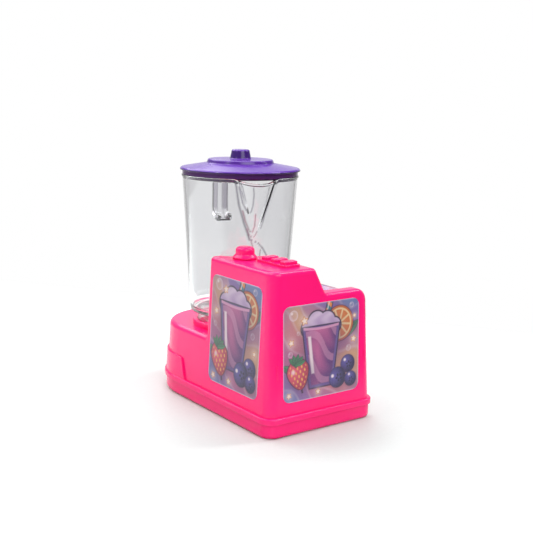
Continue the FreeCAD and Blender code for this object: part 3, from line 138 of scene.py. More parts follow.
def newGroup(name, inputs, outputs):
    tree = bpy.data.node_groups.new(name, "ShaderNodeTree")
    for socket, value in inputs.items():
        made = tree.interface.new_socket(socket, in_out="INPUT", socket_type="NodeSocketFloat")
        made.default_value = value
    for socket in outputs:
        tree.interface.new_socket(socket, in_out="OUTPUT", socket_type="NodeSocketFloat")
    return tree, tree.nodes.new("NodeGroupInput").outputs, tree.nodes.new("NodeGroupOutput").inputs


def useGroup(tree, group, **sockets):
    return add(tree, "ShaderNodeGroup", {"node_tree": group}, **sockets).outputs


# surface effects shared by the materials

wideSpan, tightSpan = (0.3, 0.7), (0.35, 0.65)  # most of a noise's values lie in the first
effects = {  # pairs are the values at which a mask begins and ends
    "smudge": (0.5, 0.72), "smudgeGrit": 0.65, "scratch": (0.74, 0.8), "scratchTurns": (20.0, 75.0, 140.0),
    "scratchStretch": (900.0, 900.0, 18.0), "bend": (0.995, 0.86), "level": (0.4, 1.0),
    "dustGrains": 1400.0, "grains": (0.5, 0.7), "dustClouds": 60.0,
}


def makeMouldGrain():  # flow mottle and the fine skin of a moulding
    tree, given, out = newGroup("mouldGrain", {"Mottle": 40.0, "Skin": 900.0}, ["Mottle", "Skin"])
    place = inObject(tree)
    put(tree, noise(tree, place, given["Mottle"], 3.0), out["Mottle"])
    put(tree, noise(tree, place, given["Skin"], 2.0), out["Skin"])
    return tree


def makeHandling():  # finger smudges and hair scratches
    tree, given, out = newGroup("handling", {"Size": 55.0, "Scratches": 0.5}, ["Smudge", "Scratch"])
    place = inObject(tree)
    cloud = noise(tree, place, given["Size"], 4.0, Roughness=effects["smudgeGrit"])
    scratch = 0.0
    for turn in effects["scratchTurns"]:
        spun = add(tree, "ShaderNodeMapping", Vector=place, Rotation=(turn, turn * 0.6, turn * 1.7),
                   Scale=effects["scratchStretch"])
        streak = noise(tree, spun.outputs[0], 1.0, 1.0)
        scratch = maths(tree, "MAXIMUM", between(tree, streak, *effects["scratch"]), scratch)
    put(tree, between(tree, cloud, *effects["smudge"]), out["Smudge"])
    put(tree, times(tree, scratch, given["Scratches"], clamp=True), out["Scratch"])
    return tree


def makeEdgeWear():  # 1 along sharp edges, broken up by noise
    tree, given, out = newGroup("edgeWear", {"Width": 0.6 * mm, "Breakup": 260.0}, ["Edge"])
    soft = add(tree, "ShaderNodeBevel", {"samples": 4}, Radius=given["Width"])
    bend = between(tree, dot(tree, soft.outputs[0], facing(tree)), *effects["bend"])
    crumble = noise(tree, inObject(tree), given["Breakup"], 2.0)
    edge = times(tree, bend, between(tree, crumble, *tightSpan), clamp=True)
    put(tree, edge, out["Edge"])
    return tree


def makeDust():  # faint dust on what faces up
    tree, given, out = newGroup("dust", {"Amount": 0.1}, ["Dust"])
    place = inObject(tree)
    level = between(tree, axisOf(tree, facing(tree), "Z"), *effects["level"])
    grains, clouds = noise(tree, place, effects["dustGrains"], 3.0), noise(tree, place, effects["dustClouds"], 2.0)
    mask = times(tree, level, between(tree, grains, *effects["grains"]))
    mask = times(tree, mask, between(tree, clouds, *wideSpan))
    put(tree, times(tree, mask, given["Amount"], clamp=True), out["Dust"])
    return tree


mouldGrain, handling, edgeWear, dust = makeMouldGrain(), makeHandling(), makeEdgeWear(), makeDust()
print("surface effects ready")


# one look for each kind of material

def grainOf(tree, look):
    return useGroup(tree, mouldGrain, Mottle=look["mottle"], Skin=look["skin"])


def marksOf(tree, look):
    return useGroup(tree, handling, Size=look["smudge"], Scratches=look["scratches"])


def edgeOf(tree, look):
    return times(tree, useGroup(tree, edgeWear, Width=look["edge"])["Edge"], look["edgeShare"])


def startMaterial(name, sockets):
    material = bpy.data.materials.new(name)
    material.use_nodes = True
    tree = material.node_tree
    shader = tree.nodes["Principled BSDF"]
    for socket, value in sockets.items():
        shader.inputs[socket].default_value = value
    return material, tree, shader.inputs


moulding = {  # what the mouldings share
    "roughSpread": 0.03, "scratchShare": 0.25, "scratchRough": 0.15, "scratchDepth": 0.6,
    # upright and skirtFade set where the lid's painted shade begins
    "dustColour": colour(225, 218, 214), "upright": (0.45, 0.05), "skirtFade": 0.2 * mm,
}


def plastic(name, look):
    material, tree, shader = startMaterial(name, look["sockets"])
    grain = grainOf(tree, look)
    marks = marksOf(tree, look)
    tint = mixColour(tree, between(tree, grain["Mottle"], *wideSpan), look["colour"], look["deep"])
    if "steepShade" in look:  # painted shade: darker on upright faces, darkest on the skirt under the brim
        top = look["skirtTop"]
        underBrimShade = between(tree, axisOf(tree, inObject(tree), "Z"), top + moulding["skirtFade"], top)
        upright = between(tree, axisOf(tree, facing(tree), "Z"), *moulding["upright"])
        tint = mixColour(tree, upright, tint, look["steepShade"])
        tint = mixColour(tree, underBrimShade, tint, look["skirt"])
    tint = mixColour(tree, edgeOf(tree, look), tint, look["pale"])
    tint = mixColour(tree, times(tree, marks["Scratch"], moulding["scratchShare"]), tint, look["pale"])
    tint = mixColour(tree, useGroup(tree, dust, Amount=look["dust"])["Dust"], tint, moulding["dustColour"])
    put(tree, tint, shader["Base Color"])
    smooth, dull = look["rough"] - moulding["roughSpread"], look["rough"] + moulding["roughSpread"]
    rough = between(tree, grain["Mottle"], *wideSpan, smooth, dull)
    rough = maths(tree, "ADD", rough, times(tree, marks["Smudge"], look["smudgeRough"]))
    rough = maths(tree, "ADD", rough, times(tree, marks["Scratch"], moulding["scratchRough"]), clamp=True)
    put(tree, rough, shader["Roughness"])
    height = maths(tree, "SUBTRACT", grain["Skin"], times(tree, marks["Scratch"], moulding["scratchDepth"]))
    skin = addBump(tree, shader, height, look)
    if "soften" in look:  # corners look rounder than they are drawn
        soft = add(tree, "ShaderNodeBevel", {"samples": 6}, Radius=look["soften"])
        put(tree, soft.outputs[0], skin.inputs["Normal"])
    return material


def metal(name, look):
    material, tree, shader = startMaterial(name, look["sockets"])
    place = inObject(tree)
    drawn = add(tree, "ShaderNodeMapping", Vector=place, Scale=look["stretch"])
    brushed = noise(tree, drawn.outputs[0], look["grain"], 3.0)
    cloud = noise(tree, place, look["cloud"], 3.0)
    tint = mixColour(tree, between(tree, cloud, *tightSpan), look["colour"], look["deep"])
    tint = mixColour(tree, edgeOf(tree, look), tint, look["pale"])
    put(tree, tint, shader["Base Color"])
    smooth, dull = look["rough"] - look["roughSpread"], look["rough"] + look["roughSpread"]
    put(tree, between(tree, brushed, *wideSpan, smooth, dull), shader["Roughness"])
    addBump(tree, shader, brushed, look)
    return material


def dress(material, *names):
    for name in names:
        for place in nodes[name].material_slots:
            place.material = material


housingLook = {
    "colour": colour(252, 20, 118), "deep": colour(249, 14, 112), "pale": colour(255, 130, 185),
    "mottle": 18.0, "skin": 1300.0, "smudge": 45.0, "scratches": 0.06, "edge": 0.4 * mm, "edgeShare": 0.06,
    "dust": 0.012, "rough": 0.2, "smudgeRough": 0.05, "bump": 0.12, "depth": 0.03 * mm,
    "sockets": {"IOR": 1.5, "Specular IOR Level": 0.38},
}
lidLook = {
    "colour": colour(91, 40, 158), "deep": colour(85, 35, 150), "pale": colour(160, 130, 225),
    # the steep and skirt colours are painted shade for the lid's upright faces and for the skirt under its brim
    "steepShade": colour(32, 15, 64), "skirt": colour(72, 28, 92), "skirtTop": 185.1 * mm, "soften": 1.4 * mm,
    "mottle": 20.0, "skin": 1200.0, "smudge": 60.0, "scratches": 0.1, "edge": 0.4 * mm, "edgeShare": 0.1,
    "dust": 0.012, "rough": 0.18, "smudgeRough": 0.06, "bump": 0.12, "depth": 0.03 * mm,
    "sockets": {"IOR": 1.5, "Specular IOR Level": 0.4},
}
pinkPlastic = plastic("pinkPlastic", housingLook)
purplePlastic = plastic("purplePlastic", lidLook)
dress(pinkPlastic, "upper_housing", "base_tray", "battery_door", "turn_knob", "low_key", "medium_key", "high_key")
dress(purplePlastic, "lid")


def innerPlastic(name, shade, deep, rough):
    look = dict(housingLook, colour=shade, deep=deep, pale=colour(240, 240, 240), rough=rough, dust=0.0)
    return plastic(name, look)


dress(innerPlastic("greyFrame", colour(104, 106, 112), colour(92, 94, 100), 0.45), "gear_plate", "key_guide")
dress(innerPlastic("naturalNylon", colour(236, 234, 224), colour(226, 222, 208), 0.4),
      "drive_gear", "drive_dog", "driven_dog")
dress(innerPlastic("whitePlastic", colour(240, 240, 244), colour(230, 231, 236), 0.3), "agitator_blades")
dress(innerPlastic("blackPlastic", colour(28, 28, 31), colour(20, 20, 23), 0.4),
      "motor_cap", "rotary_control", "control_shaft")


steelLook = {
    "colour": colour(205, 206, 210), "deep": colour(188, 189, 194), "pale": colour(240, 240, 242),
    "grain": 700.0, "stretch": (1.0, 1.0, 0.08), "cloud": 120.0, "edge": 0.3 * mm, "edgeShare": 0.5,
    "rough": 0.3, "roughSpread": 0.08, "bump": 0.3, "depth": 0.02 * mm, "sockets": {"Metallic": 1.0},
}
brassLook = dict(steelLook, colour=colour(214, 178, 104), deep=colour(196, 158, 86), pale=colour(244, 220, 160))
platedSteel = metal("platedSteel", steelLook)
groundSteel = metal("groundSteel", dict(steelLook, rough=0.16))
turnedBrass = metal("turnedBrass", brassLook)
dress(platedSteel, "housing_screws", "gear_plate_screws", "motor_screws", "key_guide_screws",
      "switch_board_screws", "door_screw", "motor_can", "contact_bridge", "contact_tabs", "switch_domes")
dress(groundSteel, "motor_shaft", "drive_spindle", "agitator_shaft", "contact_springs",
      "low_key_spring", "medium_key_spring", "high_key_spring")
dress(turnedBrass, "motor_pinion", "lower_bush", "upper_bush", "agitator_bush", "control_nut")


jarLook = {
    "tint": colour(252, 252, 253), "haze": colour(248, 248, 250), "rough": 0.02, "smudge": 40.0, "shadow": 0.15,
    "mottle": 22.0, "skin": 500.0, "scratches": 0.4, "smudgeRough": 0.04, "scratchRough": 0.1, "bump": 0.12,
    "depth": 0.4 * mm, "ribShade": colour(198, 193, 203), "acrossHandle": (-0.9593, 0.2823, 0.0),
    "handleMiddle": 6.776 * mm,
    # where the ribs' painted shade sets in: off the handle's middle, beyond the wall and above the lower bend
    "ribAside": (2.0 * mm, 3.2 * mm), "ribBeyond": (72.0 * mm, 74.0 * mm), "ribAbove": (144.0 * mm, 147.0 * mm),
    "sockets": {"IOR": 1.5, "Transmission Weight": 1.0, "Metallic": 0.0},
}


def clearPlastic(name, look):
    material, tree, shader = startMaterial(name, look["sockets"])
    grain = grainOf(tree, look)
    marks = marksOf(tree, look)
    tint = mixColour(tree, between(tree, grain["Mottle"], *wideSpan), look["tint"], look["haze"])
    place = inObject(tree)
    aside = maths(tree, "SUBTRACT", dot(tree, place, look["acrossHandle"]), look["handleMiddle"])
    rib = between(tree, maths(tree, "ABSOLUTE", aside), *look["ribAside"])
    rib = times(tree, rib, between(tree, axisOf(tree, place, "Y"), *look["ribBeyond"]))
    rib = times(tree, rib, between(tree, axisOf(tree, place, "Z"), *look["ribAbove"]))
    tint = mixColour(tree, rib, tint, look["ribShade"])  # painted shade: the handle's deep ribs are drawn darker, partly as the tint of thicker plastic and partly for the dark that refraction gives them
    # painted reflection and refraction lines near the spout, kept in the mesh, tint the jar's colour
    flow = add(tree, "ShaderNodeAttribute", {"attribute_name": "paintedReflectionTint"}).outputs["Color"]
    put(tree, mixColour(tree, 1.0, tint, flow, "MULTIPLY"), shader["Base Color"])
    rough = maths(tree, "ADD", times(tree, marks["Smudge"], look["smudgeRough"]), look["rough"])
    rough = maths(tree, "ADD", rough, times(tree, marks["Scratch"], look["scratchRough"]))
    put(tree, rough, shader["Roughness"])
    addBump(tree, shader, grain["Mottle"], look)
    shaded = rayIs(tree, "Shadow")  # lets light through to what is inside
    put(tree, between(tree, shaded, 0.0, 1.0, 1.0, look["shadow"]), shader["Alpha"])
    return material


clearJar = clearPlastic("clearJar", jarLook)
dress(clearJar, "jar")


cellLook = {
    "jacket": colour(30, 32, 38), "band": colour(196, 120, 52), "steel": colour(200, 201, 205),
    "bandShare": 0.22, "endMargin": 1.2 * mm, "bandFade": 0.2 * mm, "mottle": 60.0, "skin": 1500.0,
    "grime": colour(70, 70, 76), "grimeShare": 0.25, "rough": (0.25, 0.36),
}


def cellJacket(name, look):  # dark sleeve with a copper band at the plus end, bare steel at both ends
    material, tree, shader = startMaterial(name, {})
    low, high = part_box("battery_cells")
    across = axisOf(tree, inObject(tree), "X")
    bandEdge = high.x - (high.x - low.x) * look["bandShare"]
    onBand = between(tree, across, bandEdge, bandEdge + look["bandFade"])
    sleeveEnd = high.x - 2 * look["endMargin"]
    bare = between(tree, maths(tree, "ABSOLUTE", across), sleeveEnd, sleeveEnd + 0.1 * look["endMargin"])
    grain = grainOf(tree, look)
    tint = mixColour(tree, onBand, look["jacket"], look["band"])
    tint = mixColour(tree, times(tree, grain["Mottle"], look["grimeShare"]), tint, look["grime"])
    put(tree, mixColour(tree, bare, tint, look["steel"]), shader["Base Color"])
    put(tree, bare, shader["Metallic"])
    put(tree, between(tree, grain["Skin"], *wideSpan, *look["rough"]), shader["Roughness"])
    return material


dress(cellJacket("cellJacket", cellLook), "battery_cells")


boardLook = {
    "laminate": colour(150, 108, 58), "fibre": colour(126, 86, 44), "track": colour(96, 132, 84), "weave": 900.0,
    "tracks": 210.0, "trackEdge": (0.16, 0.2), "rough": (0.55, 0.38), "bump": 0.4, "depth": 0.04 * mm,
}


def circuitBoard(name, look):  # brown laminate with dull green tracks
    material, tree, shader = startMaterial(name, {"Specular IOR Level": 0.4})
    place = inObject(tree)
    grid = add(tree, "ShaderNodeTexVoronoi", {"feature": "DISTANCE_TO_EDGE"}, Vector=place, Scale=look["tracks"])
    tracks = between(tree, grid.outputs["Distance"], *look["trackEdge"])
    tint = mixColour(tree, noise(tree, place, look["weave"], 4.0), look["laminate"], look["fibre"])
    put(tree, mixColour(tree, tracks, tint, look["track"]), shader["Base Color"])
    put(tree, between(tree, tracks, 0.0, 1.0, *look["rough"]), shader["Roughness"])
    addBump(tree, shader, tracks, look)
    return material


dress(circuitBoard("circuitBoard", boardLook), "switch_board")
print("materials ready:", len(bpy.data.materials))


# the clear jar: one moulding of wall, pouring spout, foot ring, bush boss and handle

jarShape = {
    "axis": (0.0, 24.0 * mm), "floor": 69.3 * mm, "rim": 181.2 * mm, "wall": 2.0 * mm, "inside": 72.0 * mm,
    "floorRadius": 39.44 * mm, "rimRadius": 46.8 * mm, "outerRound": 2.5 * mm, "innerRound": 3.0 * mm,
    "foot": 57.8 * mm, "footRadius": 33.6 * mm, "boss": 6.0 * mm, "bossTop": 75.4 * mm, "bore": 4.0 * mm,
    "edge": 0.5 * mm, "rows": 76, "seam": 1.5 * mm, "spoutAngle": -108.0, "spoutLow": 127.0 * mm,
    "spoutLowRadius": 4.0 * mm, "spoutRadius": 17.47 * mm, "spoutReach": 36.83 * mm, "spoutBlend": 6.0 * mm,
    "spoutInnerBlend": 0.6 * mm, "spoutSolid": 10.0 * mm,
    "lipStart": 43.8 * mm, "lipEnd": 54.3 * mm, "lipDrop": 3.0 * mm,
    "bead": 0.7 * mm, "beadHeight": 2.0 * mm,
    "turns": [(-34, 34, 0.5), (34, 326, 2.0)],  # degrees round from the spout's middle, and the steps
    # how far down the bead, as a share of its height, and how far out, as a share of its thickness
    "beadLine": [(0.86, 0.3), (0.72, 0.85), (0.6, 1.0), (0.3, 1.0), (0.14, 0.95), (0.05, 0.7), (0.0, 0.2)],
    # the same share down, and how far in from the wall's outside
    "lipLine": [(0.0, 1.5 * mm), (0.06, 1.9 * mm), (0.16, 2.0 * mm)],
}
handleShape = {
    "angle": 73.6, "out": 61.0 * mm, "top": 178.0 * mm, "low": 137.5 * mm, "half": 7.0 * mm, "side": 4.4 * mm,
    "web": 2.2 * mm, "depth": 6.2 * mm, "lowBend": 12.0 * mm, "topBend": 9.0 * mm, "root": 1.0 * mm, "edge": 2.1 * mm,
    # the strap's stretches: from which share of each, and in how many rows
    "stretches": [("low", 0.0, 4), ("lowBend", 0.08, 10), ("topBend", 0.0, 10), ("top", 0.3, 4)],
}


def rounded(corners, steps=4):  # points along a line of corners, each (across, up, rounding)
    points = []
    for before, here, after in zip(corners, corners[1:], corners[2:]):
        spot = Vector(here[:2])
        back, ahead = Vector(before[:2]) - spot, Vector(after[:2]) - spot
        half = back.angle(ahead) / 2
        reach = min(here[2] / math.tan(half), 0.48 * min(back.length, ahead.length))  # short of a side's middle
        start, end = spot + back.normalized() * reach, spot + ahead.normalized() * reach
        for step in range(steps + 1):
            share = step / steps
            points.append(start * (1 - share) ** 2 + spot * 2 * share * (1 - share) + end * share ** 2)
    return points


def wallAt(shape, height):  # the plain wall's outer radius
    rise = (height - shape["floor"]) / (shape["rim"] - shape["floor"])
    return shape["floorRadius"] + (shape["rimRadius"] - shape["floorRadius"]) * rise


def wallRadius(shape, height, turn, inset):  # the wall, swelling into the spout
    innerSide = inset > 0.9 * shape["wall"]  # within a tenth of the inner face
    wall = wallAt(shape, height) - inset
    spoutLow = shape["spoutLow"] + (shape["spoutSolid"] if innerSide else 0.0)  # the spout's foot is solid
    share = (height - spoutLow) / (shape["rim"] - spoutLow)
    radius = shape["spoutLowRadius"] + (shape["spoutRadius"] - shape["spoutLowRadius"]) * share - inset
    lowReach = wallAt(shape, spoutLow) - shape["spoutLowRadius"]
    middle = lowReach + (shape["spoutReach"] - lowReach) * share
    inside = np.clip(radius, 0, None) ** 2 - (middle * np.sin(turn)) ** 2
    spout = middle * np.cos(turn) + np.sqrt(np.clip(inside, 0, None))
    spout = np.where((inside > 0) & (np.cos(turn) > 0), spout, 0.0)
    blend = shape["spoutInnerBlend"] if innerSide else shape["spoutBlend"]  # thicker along the crease
    near = np.clip(1 - np.abs(wall - spout) / blend, 0, 1)
    return np.maximum(wall, spout) + blend / 4 * near ** 2


violet, rose, mauve = colour(40, 14, 62), colour(120, 10, 62), colour(62, 40, 84)
# painted reflection and refraction lines along the spout's creases: tint, share, half width, then height and way
# round from its middle, in mm
paintedSpoutReflections = [
    (violet, 1.0, 1.5, [(134, -4.7), (147.5, -9.5), (161.5, -13.8), (180, -17.4)]),
    (mauve, 1.0, 1.1, [(155, -6.6), (157.4, -8.5), (163.2, -11.4), (176.4, -14.8)]),
    (mauve, 0.9, 0.9, [(155, -6.2), (157, -5.1), (161.5, -4.2), (169.8, -4.0), (175.5, -4.8)]),
    (rose, 1.0, 1.2, [(140, -3.5), (141.8, -5.7), (149.2, -8.7), (157.4, -11.0)]),
    (rose, 0.9, 0.9, [(140, -3.3), (145.1, -1.8), (155, -1.7)]),
    (rose, 0.9, 1.0, [(136, -2.8), (138.5, -5.5), (143, -7.4)]),
    (rose, 0.8, 0.9, [(136, -2.6), (138, -0.8), (141, 0.2)]),
    (mauve, 1.0, 1.4, [(116.3, 11.9), (122, 9.8), (127.8, 6.1), (131.9, 1.7), (134.6, -4.3)]),
    (rose, 0.9, 0.9, [(118, -0.6), (122.9, -1.0), (128.6, -2.3), (133.6, -3.8)]),
    (rose, 0.8, 0.9, [(116, 4.0), (120.4, 4.2), (126.1, 4.6), (128.6, 7.0)]),
    (mauve, 0.8, 1.0, [(143.4, 3.4), (155, 6.7), (165.7, 10.3), (180, 14.3)]),
    (mauve, 0.6, 0.9, [(149, 5.2), (161.5, 6.4), (176.4, 8.2)]),
]


def paintSpoutReflections(mesh, shape):  # painted reflection and refraction lines around the spout, kept in the mesh as a tint at each point
    count = len(mesh.vertices)
    spots = np.empty(count * 3)
    mesh.vertices.foreach_get("co", spots)
    spots = spots.reshape(-1, 3)
    across, along = spots[:, 0] - shape["axis"][0], spots[:, 1] - shape["axis"][1]
    turn = np.arctan2(along, across) - math.radians(shape["spoutAngle"])
    turn = (turn + math.pi) % (2 * math.pi) - math.pi
    radius, height = np.hypot(across, along), spots[:, 2]
    outside = radius > wallRadius(shape, height, turn, 0.0) - shape["wall"] / 2
    ink = np.ones((count, 4))
    for tint, share, width, line in paintedSpoutReflections:
        ups, ways = np.array(line).T * mm
        aside = np.abs(radius * turn - np.interp(height, ups, ways))
        cover = np.clip(1 - aside / (width * mm), 0, 1) * outside * share
        cover = (cover * (height > ups[0]) * (height < ups[-1]))[:, None]
        ink[:, :3] = ink[:, :3] * (1 - cover) + np.array(tint[:3]) * cover
    mesh.attributes.new("paintedReflectionTint", "FLOAT_COLOR", "POINT").data.foreach_set("color", ink.ravel())


def wrapMesh(name, rows, closed):  # rows of points joined into one smooth skin
    count, width = rows.shape[:2]
    faces = []
    for r in range(count if closed else count - 1):
        for k in range(width):
            a, b = r * width + k, r * width + (k + 1) % width
            c, d = (r + 1) % count * width + (k + 1) % width, (r + 1) % count * width + k
            faces.append((a, b, c, d))
    if not closed:
        faces.append(tuple(range(width))[::-1])
        faces.append(tuple((count - 1) * width + k for k in range(width)))
    mesh = bpy.data.meshes.new(name)
    mesh.from_pydata(rows.reshape(-1, 3).tolist(), [], faces)
    tidy = bmesh.new()
    tidy.from_mesh(mesh)
    bmesh.ops.recalc_face_normals(tidy, faces=tidy.faces)
    tidy.to_mesh(mesh)
    tidy.free()
    mesh.shade_smooth()
    return mesh


def jarRows(shape):
    turn = np.radians(np.concatenate([np.arange(*span) for span in shape["turns"]]))
    wall, floor, edge, bead = shape["wall"], shape["floor"], shape["edge"], shape["beadHeight"]
    outside = rounded([
        (shape["bore"], shape["inside"]), (shape["bore"], floor, edge), (shape["footRadius"] - wall, floor, edge),
        (shape["footRadius"] - wall, shape["foot"], edge), (shape["footRadius"], shape["foot"], edge),
        (shape["footRadius"], floor, edge), (shape["floorRadius"], floor, shape["outerRound"]),
        (shape["rimRadius"], shape["rim"])])
    lowInside = float(wallRadius(shape, shape["inside"], math.pi, wall))
    highInside = float(wallRadius(shape, shape["spoutLow"], math.pi, wall))
    inside = rounded([
        (highInside, shape["spoutLow"]), (lowInside, shape["inside"], shape["innerRound"]),
        (shape["boss"], shape["inside"], edge), (shape["boss"], shape["bossTop"], edge),
        (shape["bore"], shape["bossTop"], edge), (shape["bore"], shape["inside"])])
    lip = wallRadius(shape, shape["rim"], turn, 0.0) * np.cos(turn)
    fall = np.clip((lip - shape["lipStart"]) / (shape["lipEnd"] - shape["lipStart"]), 0, None)
    top = shape["rim"] - shape["lipDrop"] * fall
    rings = [(point.x, point.y) for point in outside]
    low = outside[-1].y + shape["seam"]
    for step in range(shape["rows"] + 1):
        height = low + (top - bead - low) * step / shape["rows"]
        rings.append((wallRadius(shape, height, turn, 0.0), height))
    for drop, out in shape["beadLine"]:
        height = top - bead * drop
        rings.append((wallRadius(shape, height, turn, 0.0) + shape["bead"] * out, height))
    for drop, inset in shape["lipLine"]:
        height = top - bead * drop
        rings.append((wallRadius(shape, height, turn, inset), height))
    lipDrop = shape["lipLine"][-1][0]
    low = inside[0].y + shape["seam"]
    for step in range(1, shape["rows"] + 1):
        height = (top - lipDrop * bead) * (1 - step / shape["rows"]) + low * step / shape["rows"]
        rings.append((wallRadius(shape, height, turn, wall), height))
    rings += [(point.x, point.y) for point in inside]
    angle = turn + math.radians(shape["spoutAngle"])
    flat = np.zeros(len(turn))
    x, y = shape["axis"]
    return np.array([np.stack([x + radius * np.cos(angle), y + radius * np.sin(angle), height + flat], 1)
                     for radius, height in rings])


def handleRows(shape, jar):  # the strap, from its lower root up to its upper one
    half, side, web, depth = shape["half"], shape["side"], shape["web"], shape["depth"]
    lap = [(-half, 0), (half, 0), (half, depth), (half - side, depth), (half - side, web), (side - half, web),
           (side - half, depth), (-half, depth)]
    corners = [corner + (shape["edge"],) for corner in lap]
    section = rounded([corners[-1]] + corners + [corners[0]], steps=3)
    lowRoot = float(wallRadius(jar, shape["low"], math.pi, shape["root"]))
    topRoot = float(wallRadius(jar, shape["top"], math.pi, shape["root"]))
    rows = []
    stations = [(part, share) for part, start, count in shape["stretches"] for share in np.linspace(start, 1, count)]
    lowOut, topOut = shape["out"] - shape["lowBend"], shape["out"] - shape["topBend"]
    turn = math.radians(shape["angle"])
    for part, share in stations:
        row = []
        for across, inset in section:
            if part == "low":
                reach, height = lowRoot + (lowOut - lowRoot) * share, shape["low"] + inset
            elif part == "lowBend":
                swing = math.radians(90 * share - 90)
                reach = lowOut + (shape["lowBend"] - inset) * math.cos(swing)
                height = shape["low"] + shape["lowBend"] + (shape["lowBend"] - inset) * math.sin(swing)
            elif part == "topBend":
                swing = math.radians(90 * share)
                reach = topOut + (shape["topBend"] - inset) * math.cos(swing)
                height = shape["top"] - shape["topBend"] + (shape["topBend"] - inset) * math.sin(swing)
            else:
                reach, height = topOut + (topRoot - topOut) * share, shape["top"] - inset
            row.append((jar["axis"][0] + reach * math.cos(turn) - across * math.sin(turn),
                        jar["axis"][1] + reach * math.sin(turn) + across * math.cos(turn), height))
        rows.append(row)
    return np.array(rows)


def makeJar(shape, grip):
    body = newObject("clearJar", wrapMesh("clearJar", jarRows(shape), True))
    handle = newObject("jarHandle", wrapMesh("jarHandle", handleRows(grip, shape), False))
    fuse = body.modifiers.new("fuse", "BOOLEAN")
    fuse.operation = "UNION"
    fuse.solver = "EXACT"
    fuse.object = handle
    graph = bpy.context.evaluated_depsgraph_get()
    fused = bpy.data.meshes.new_from_object(body.evaluated_get(graph))
    body.modifiers.clear()
    body.data = fused
    bpy.data.objects.remove(handle)
    fused.materials.clear()
    fused.materials.append(clearJar)
    fused.shade_smooth()
    paintSpoutReflections(fused, shape)
    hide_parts("jar")
    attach(body, "jar")


makeJar(jarShape, handleShape)
print("jar moulded")


# the printed labels: each one is painted motif by motif into its own mesh

class Print:  # an area to paint: x and y in widths from its middle, half its width and height, and its ink
    def __init__(self, x, y, wide, tall, soft):
        self.x, self.y, self.wide, self.tall, self.soft = x, y, wide, tall, soft
        self.ink = np.ones((len(x), 3))

    def lay(self, cover, shade):
        cover = np.clip(cover, 0.0, 1.0)[:, None]
        self.ink = self.ink * (1 - cover) + np.array(shade)[..., :3] * cover

    def inside(self, distance, blur=0.0):  # 1 where distance is negative, with a soft edge
        return np.clip(0.5 - distance / (self.soft + blur), 0.0, 1.0)

    def fill(self, distance, shade, share=1.0, blur=0.0):  # shade is a colour's name or the points' own colours
        shade = artColours[shade] if isinstance(shade, str) else shade
        self.lay(self.inside(distance, blur) * share, shade)

    def local(self, x, y, size, turn):
        cosine, sine = math.cos(math.radians(turn)), math.sin(math.radians(turn))
        dx, dy = (self.x - x) / size, (self.y - y) / size
        return dx * cosine + dy * sine, dy * cosine - dx * sine


def shadeBetween(share, first, second):
    share = np.clip(share, 0.0, 1.0)[:, None]
    return np.array(artColours[first][:3]) * (1 - share) + np.array(artColours[second][:3]) * share


artColours = {
    "sky": [colour(112, 120, 176), colour(140, 96, 156), colour(178, 92, 138), colour(204, 122, 124),
            colour(212, 158, 110), colour(176, 116, 140), colour(128, 96, 164), colour(104, 134, 180)],
    "dusk": colour(96, 90, 158), "glow": colour(240, 222, 226), "line": colour(48, 22, 62),
    "shake": colour(204, 96, 150), "shakeDeep": colour(92, 36, 112), "shakePale": colour(226, 156, 190),
    "foam": colour(222, 198, 220), "foamShade": colour(150, 112, 172), "glass": colour(96, 70, 140),
    "straw": colour(36, 112, 128), "strawStripe": colour(226, 132, 56),
    "berry": colour(36, 24, 74), "berryPale": colour(98, 82, 166), "crown": colour(22, 12, 44),
    "strawberry": colour(156, 18, 60), "strawberryPale": colour(228, 84, 110), "seed": colour(236, 178, 88),
    "leaf": colour(30, 88, 70), "leafPale": colour(88, 148, 98), "rind": colour(196, 94, 26),
    "pith": colour(232, 200, 150), "flesh": colour(226, 140, 44), "fleshDeep": colour(200, 84, 30),
    "star": colour(236, 190, 104), "shadow": colour(88, 44, 104),
}


def paintSky(page):  # slow waves of colour, duskier towards the corners
    table = np.array(artColours["sky"])[:, :3]
    flow = page.y * 1.05 + 0.2 * np.sin(page.x * 4.2 + 0.6) + 0.5 * page.x + 0.95
    flow = flow + 0.05 * np.sin(page.x * 11 - page.y * 6)
    place = np.clip(flow / 1.9, 0.0, 0.999) * (len(table) - 1)
    step = place.astype(int)
    share = np.clip((place - step - 0.5) / 0.6 + 0.5, 0.0, 1.0)
    share = (share * share * (3 - 2 * share))[:, None]
    page.ink = table[step] * (1 - share) + table[step + 1] * share
    page.fill(np.abs(place - step - 0.5) - 0.04, "glow", 0.35, 0.14)
    corner = (page.x / page.wide) ** 2 + (page.y / page.tall) ** 2
    page.lay((corner - 0.7) * 0.45, artColours["dusk"])
    page.lay(np.exp(-corner * 2.2) * 0.3, artColours["shakePale"])


def paintGleam(page, dx, dy, spot, size, share=1.0, blur=0.0):  # a highlight: its place and radius
    page.fill((np.hypot(dx - spot[0], dy - spot[1]) - spot[2]) * size, "glow", share, blur)


# each motif is drawn in a frame of its own, in which its size is 1
def paintBubble(page, x, y, size, turn):
    dx, dy = page.local(x, y, size, turn)
    away = np.hypot(dx, dy)
    page.fill((away - 1) * size, "glow", 0.1 + 0.35 * away ** 3)
    page.fill((np.abs(away - 0.94) - 0.05) * size, "foam", 0.6)
    paintGleam(page, dx, dy, (-0.4, 0.42, 0.2), size, blur=0.01)


def paintStar(page, x, y, size, turn):
    dx, dy = page.local(x, y, size, turn)
    sector = np.abs((np.arctan2(dx, dy) / (2 * math.pi) * 5 + 0.5) % 1 - 0.5) * 2
    edge = 1.0 - 0.5 * sector ** 0.8
    away = np.hypot(dx, dy)
    page.lay(np.exp(-(away * 0.8) ** 2) * 0.4, artColours["glow"])
    page.fill((away - edge) * size, "rind")
    page.fill((away - edge + 0.14) * size, shadeBetween(away, "glow", "star"))


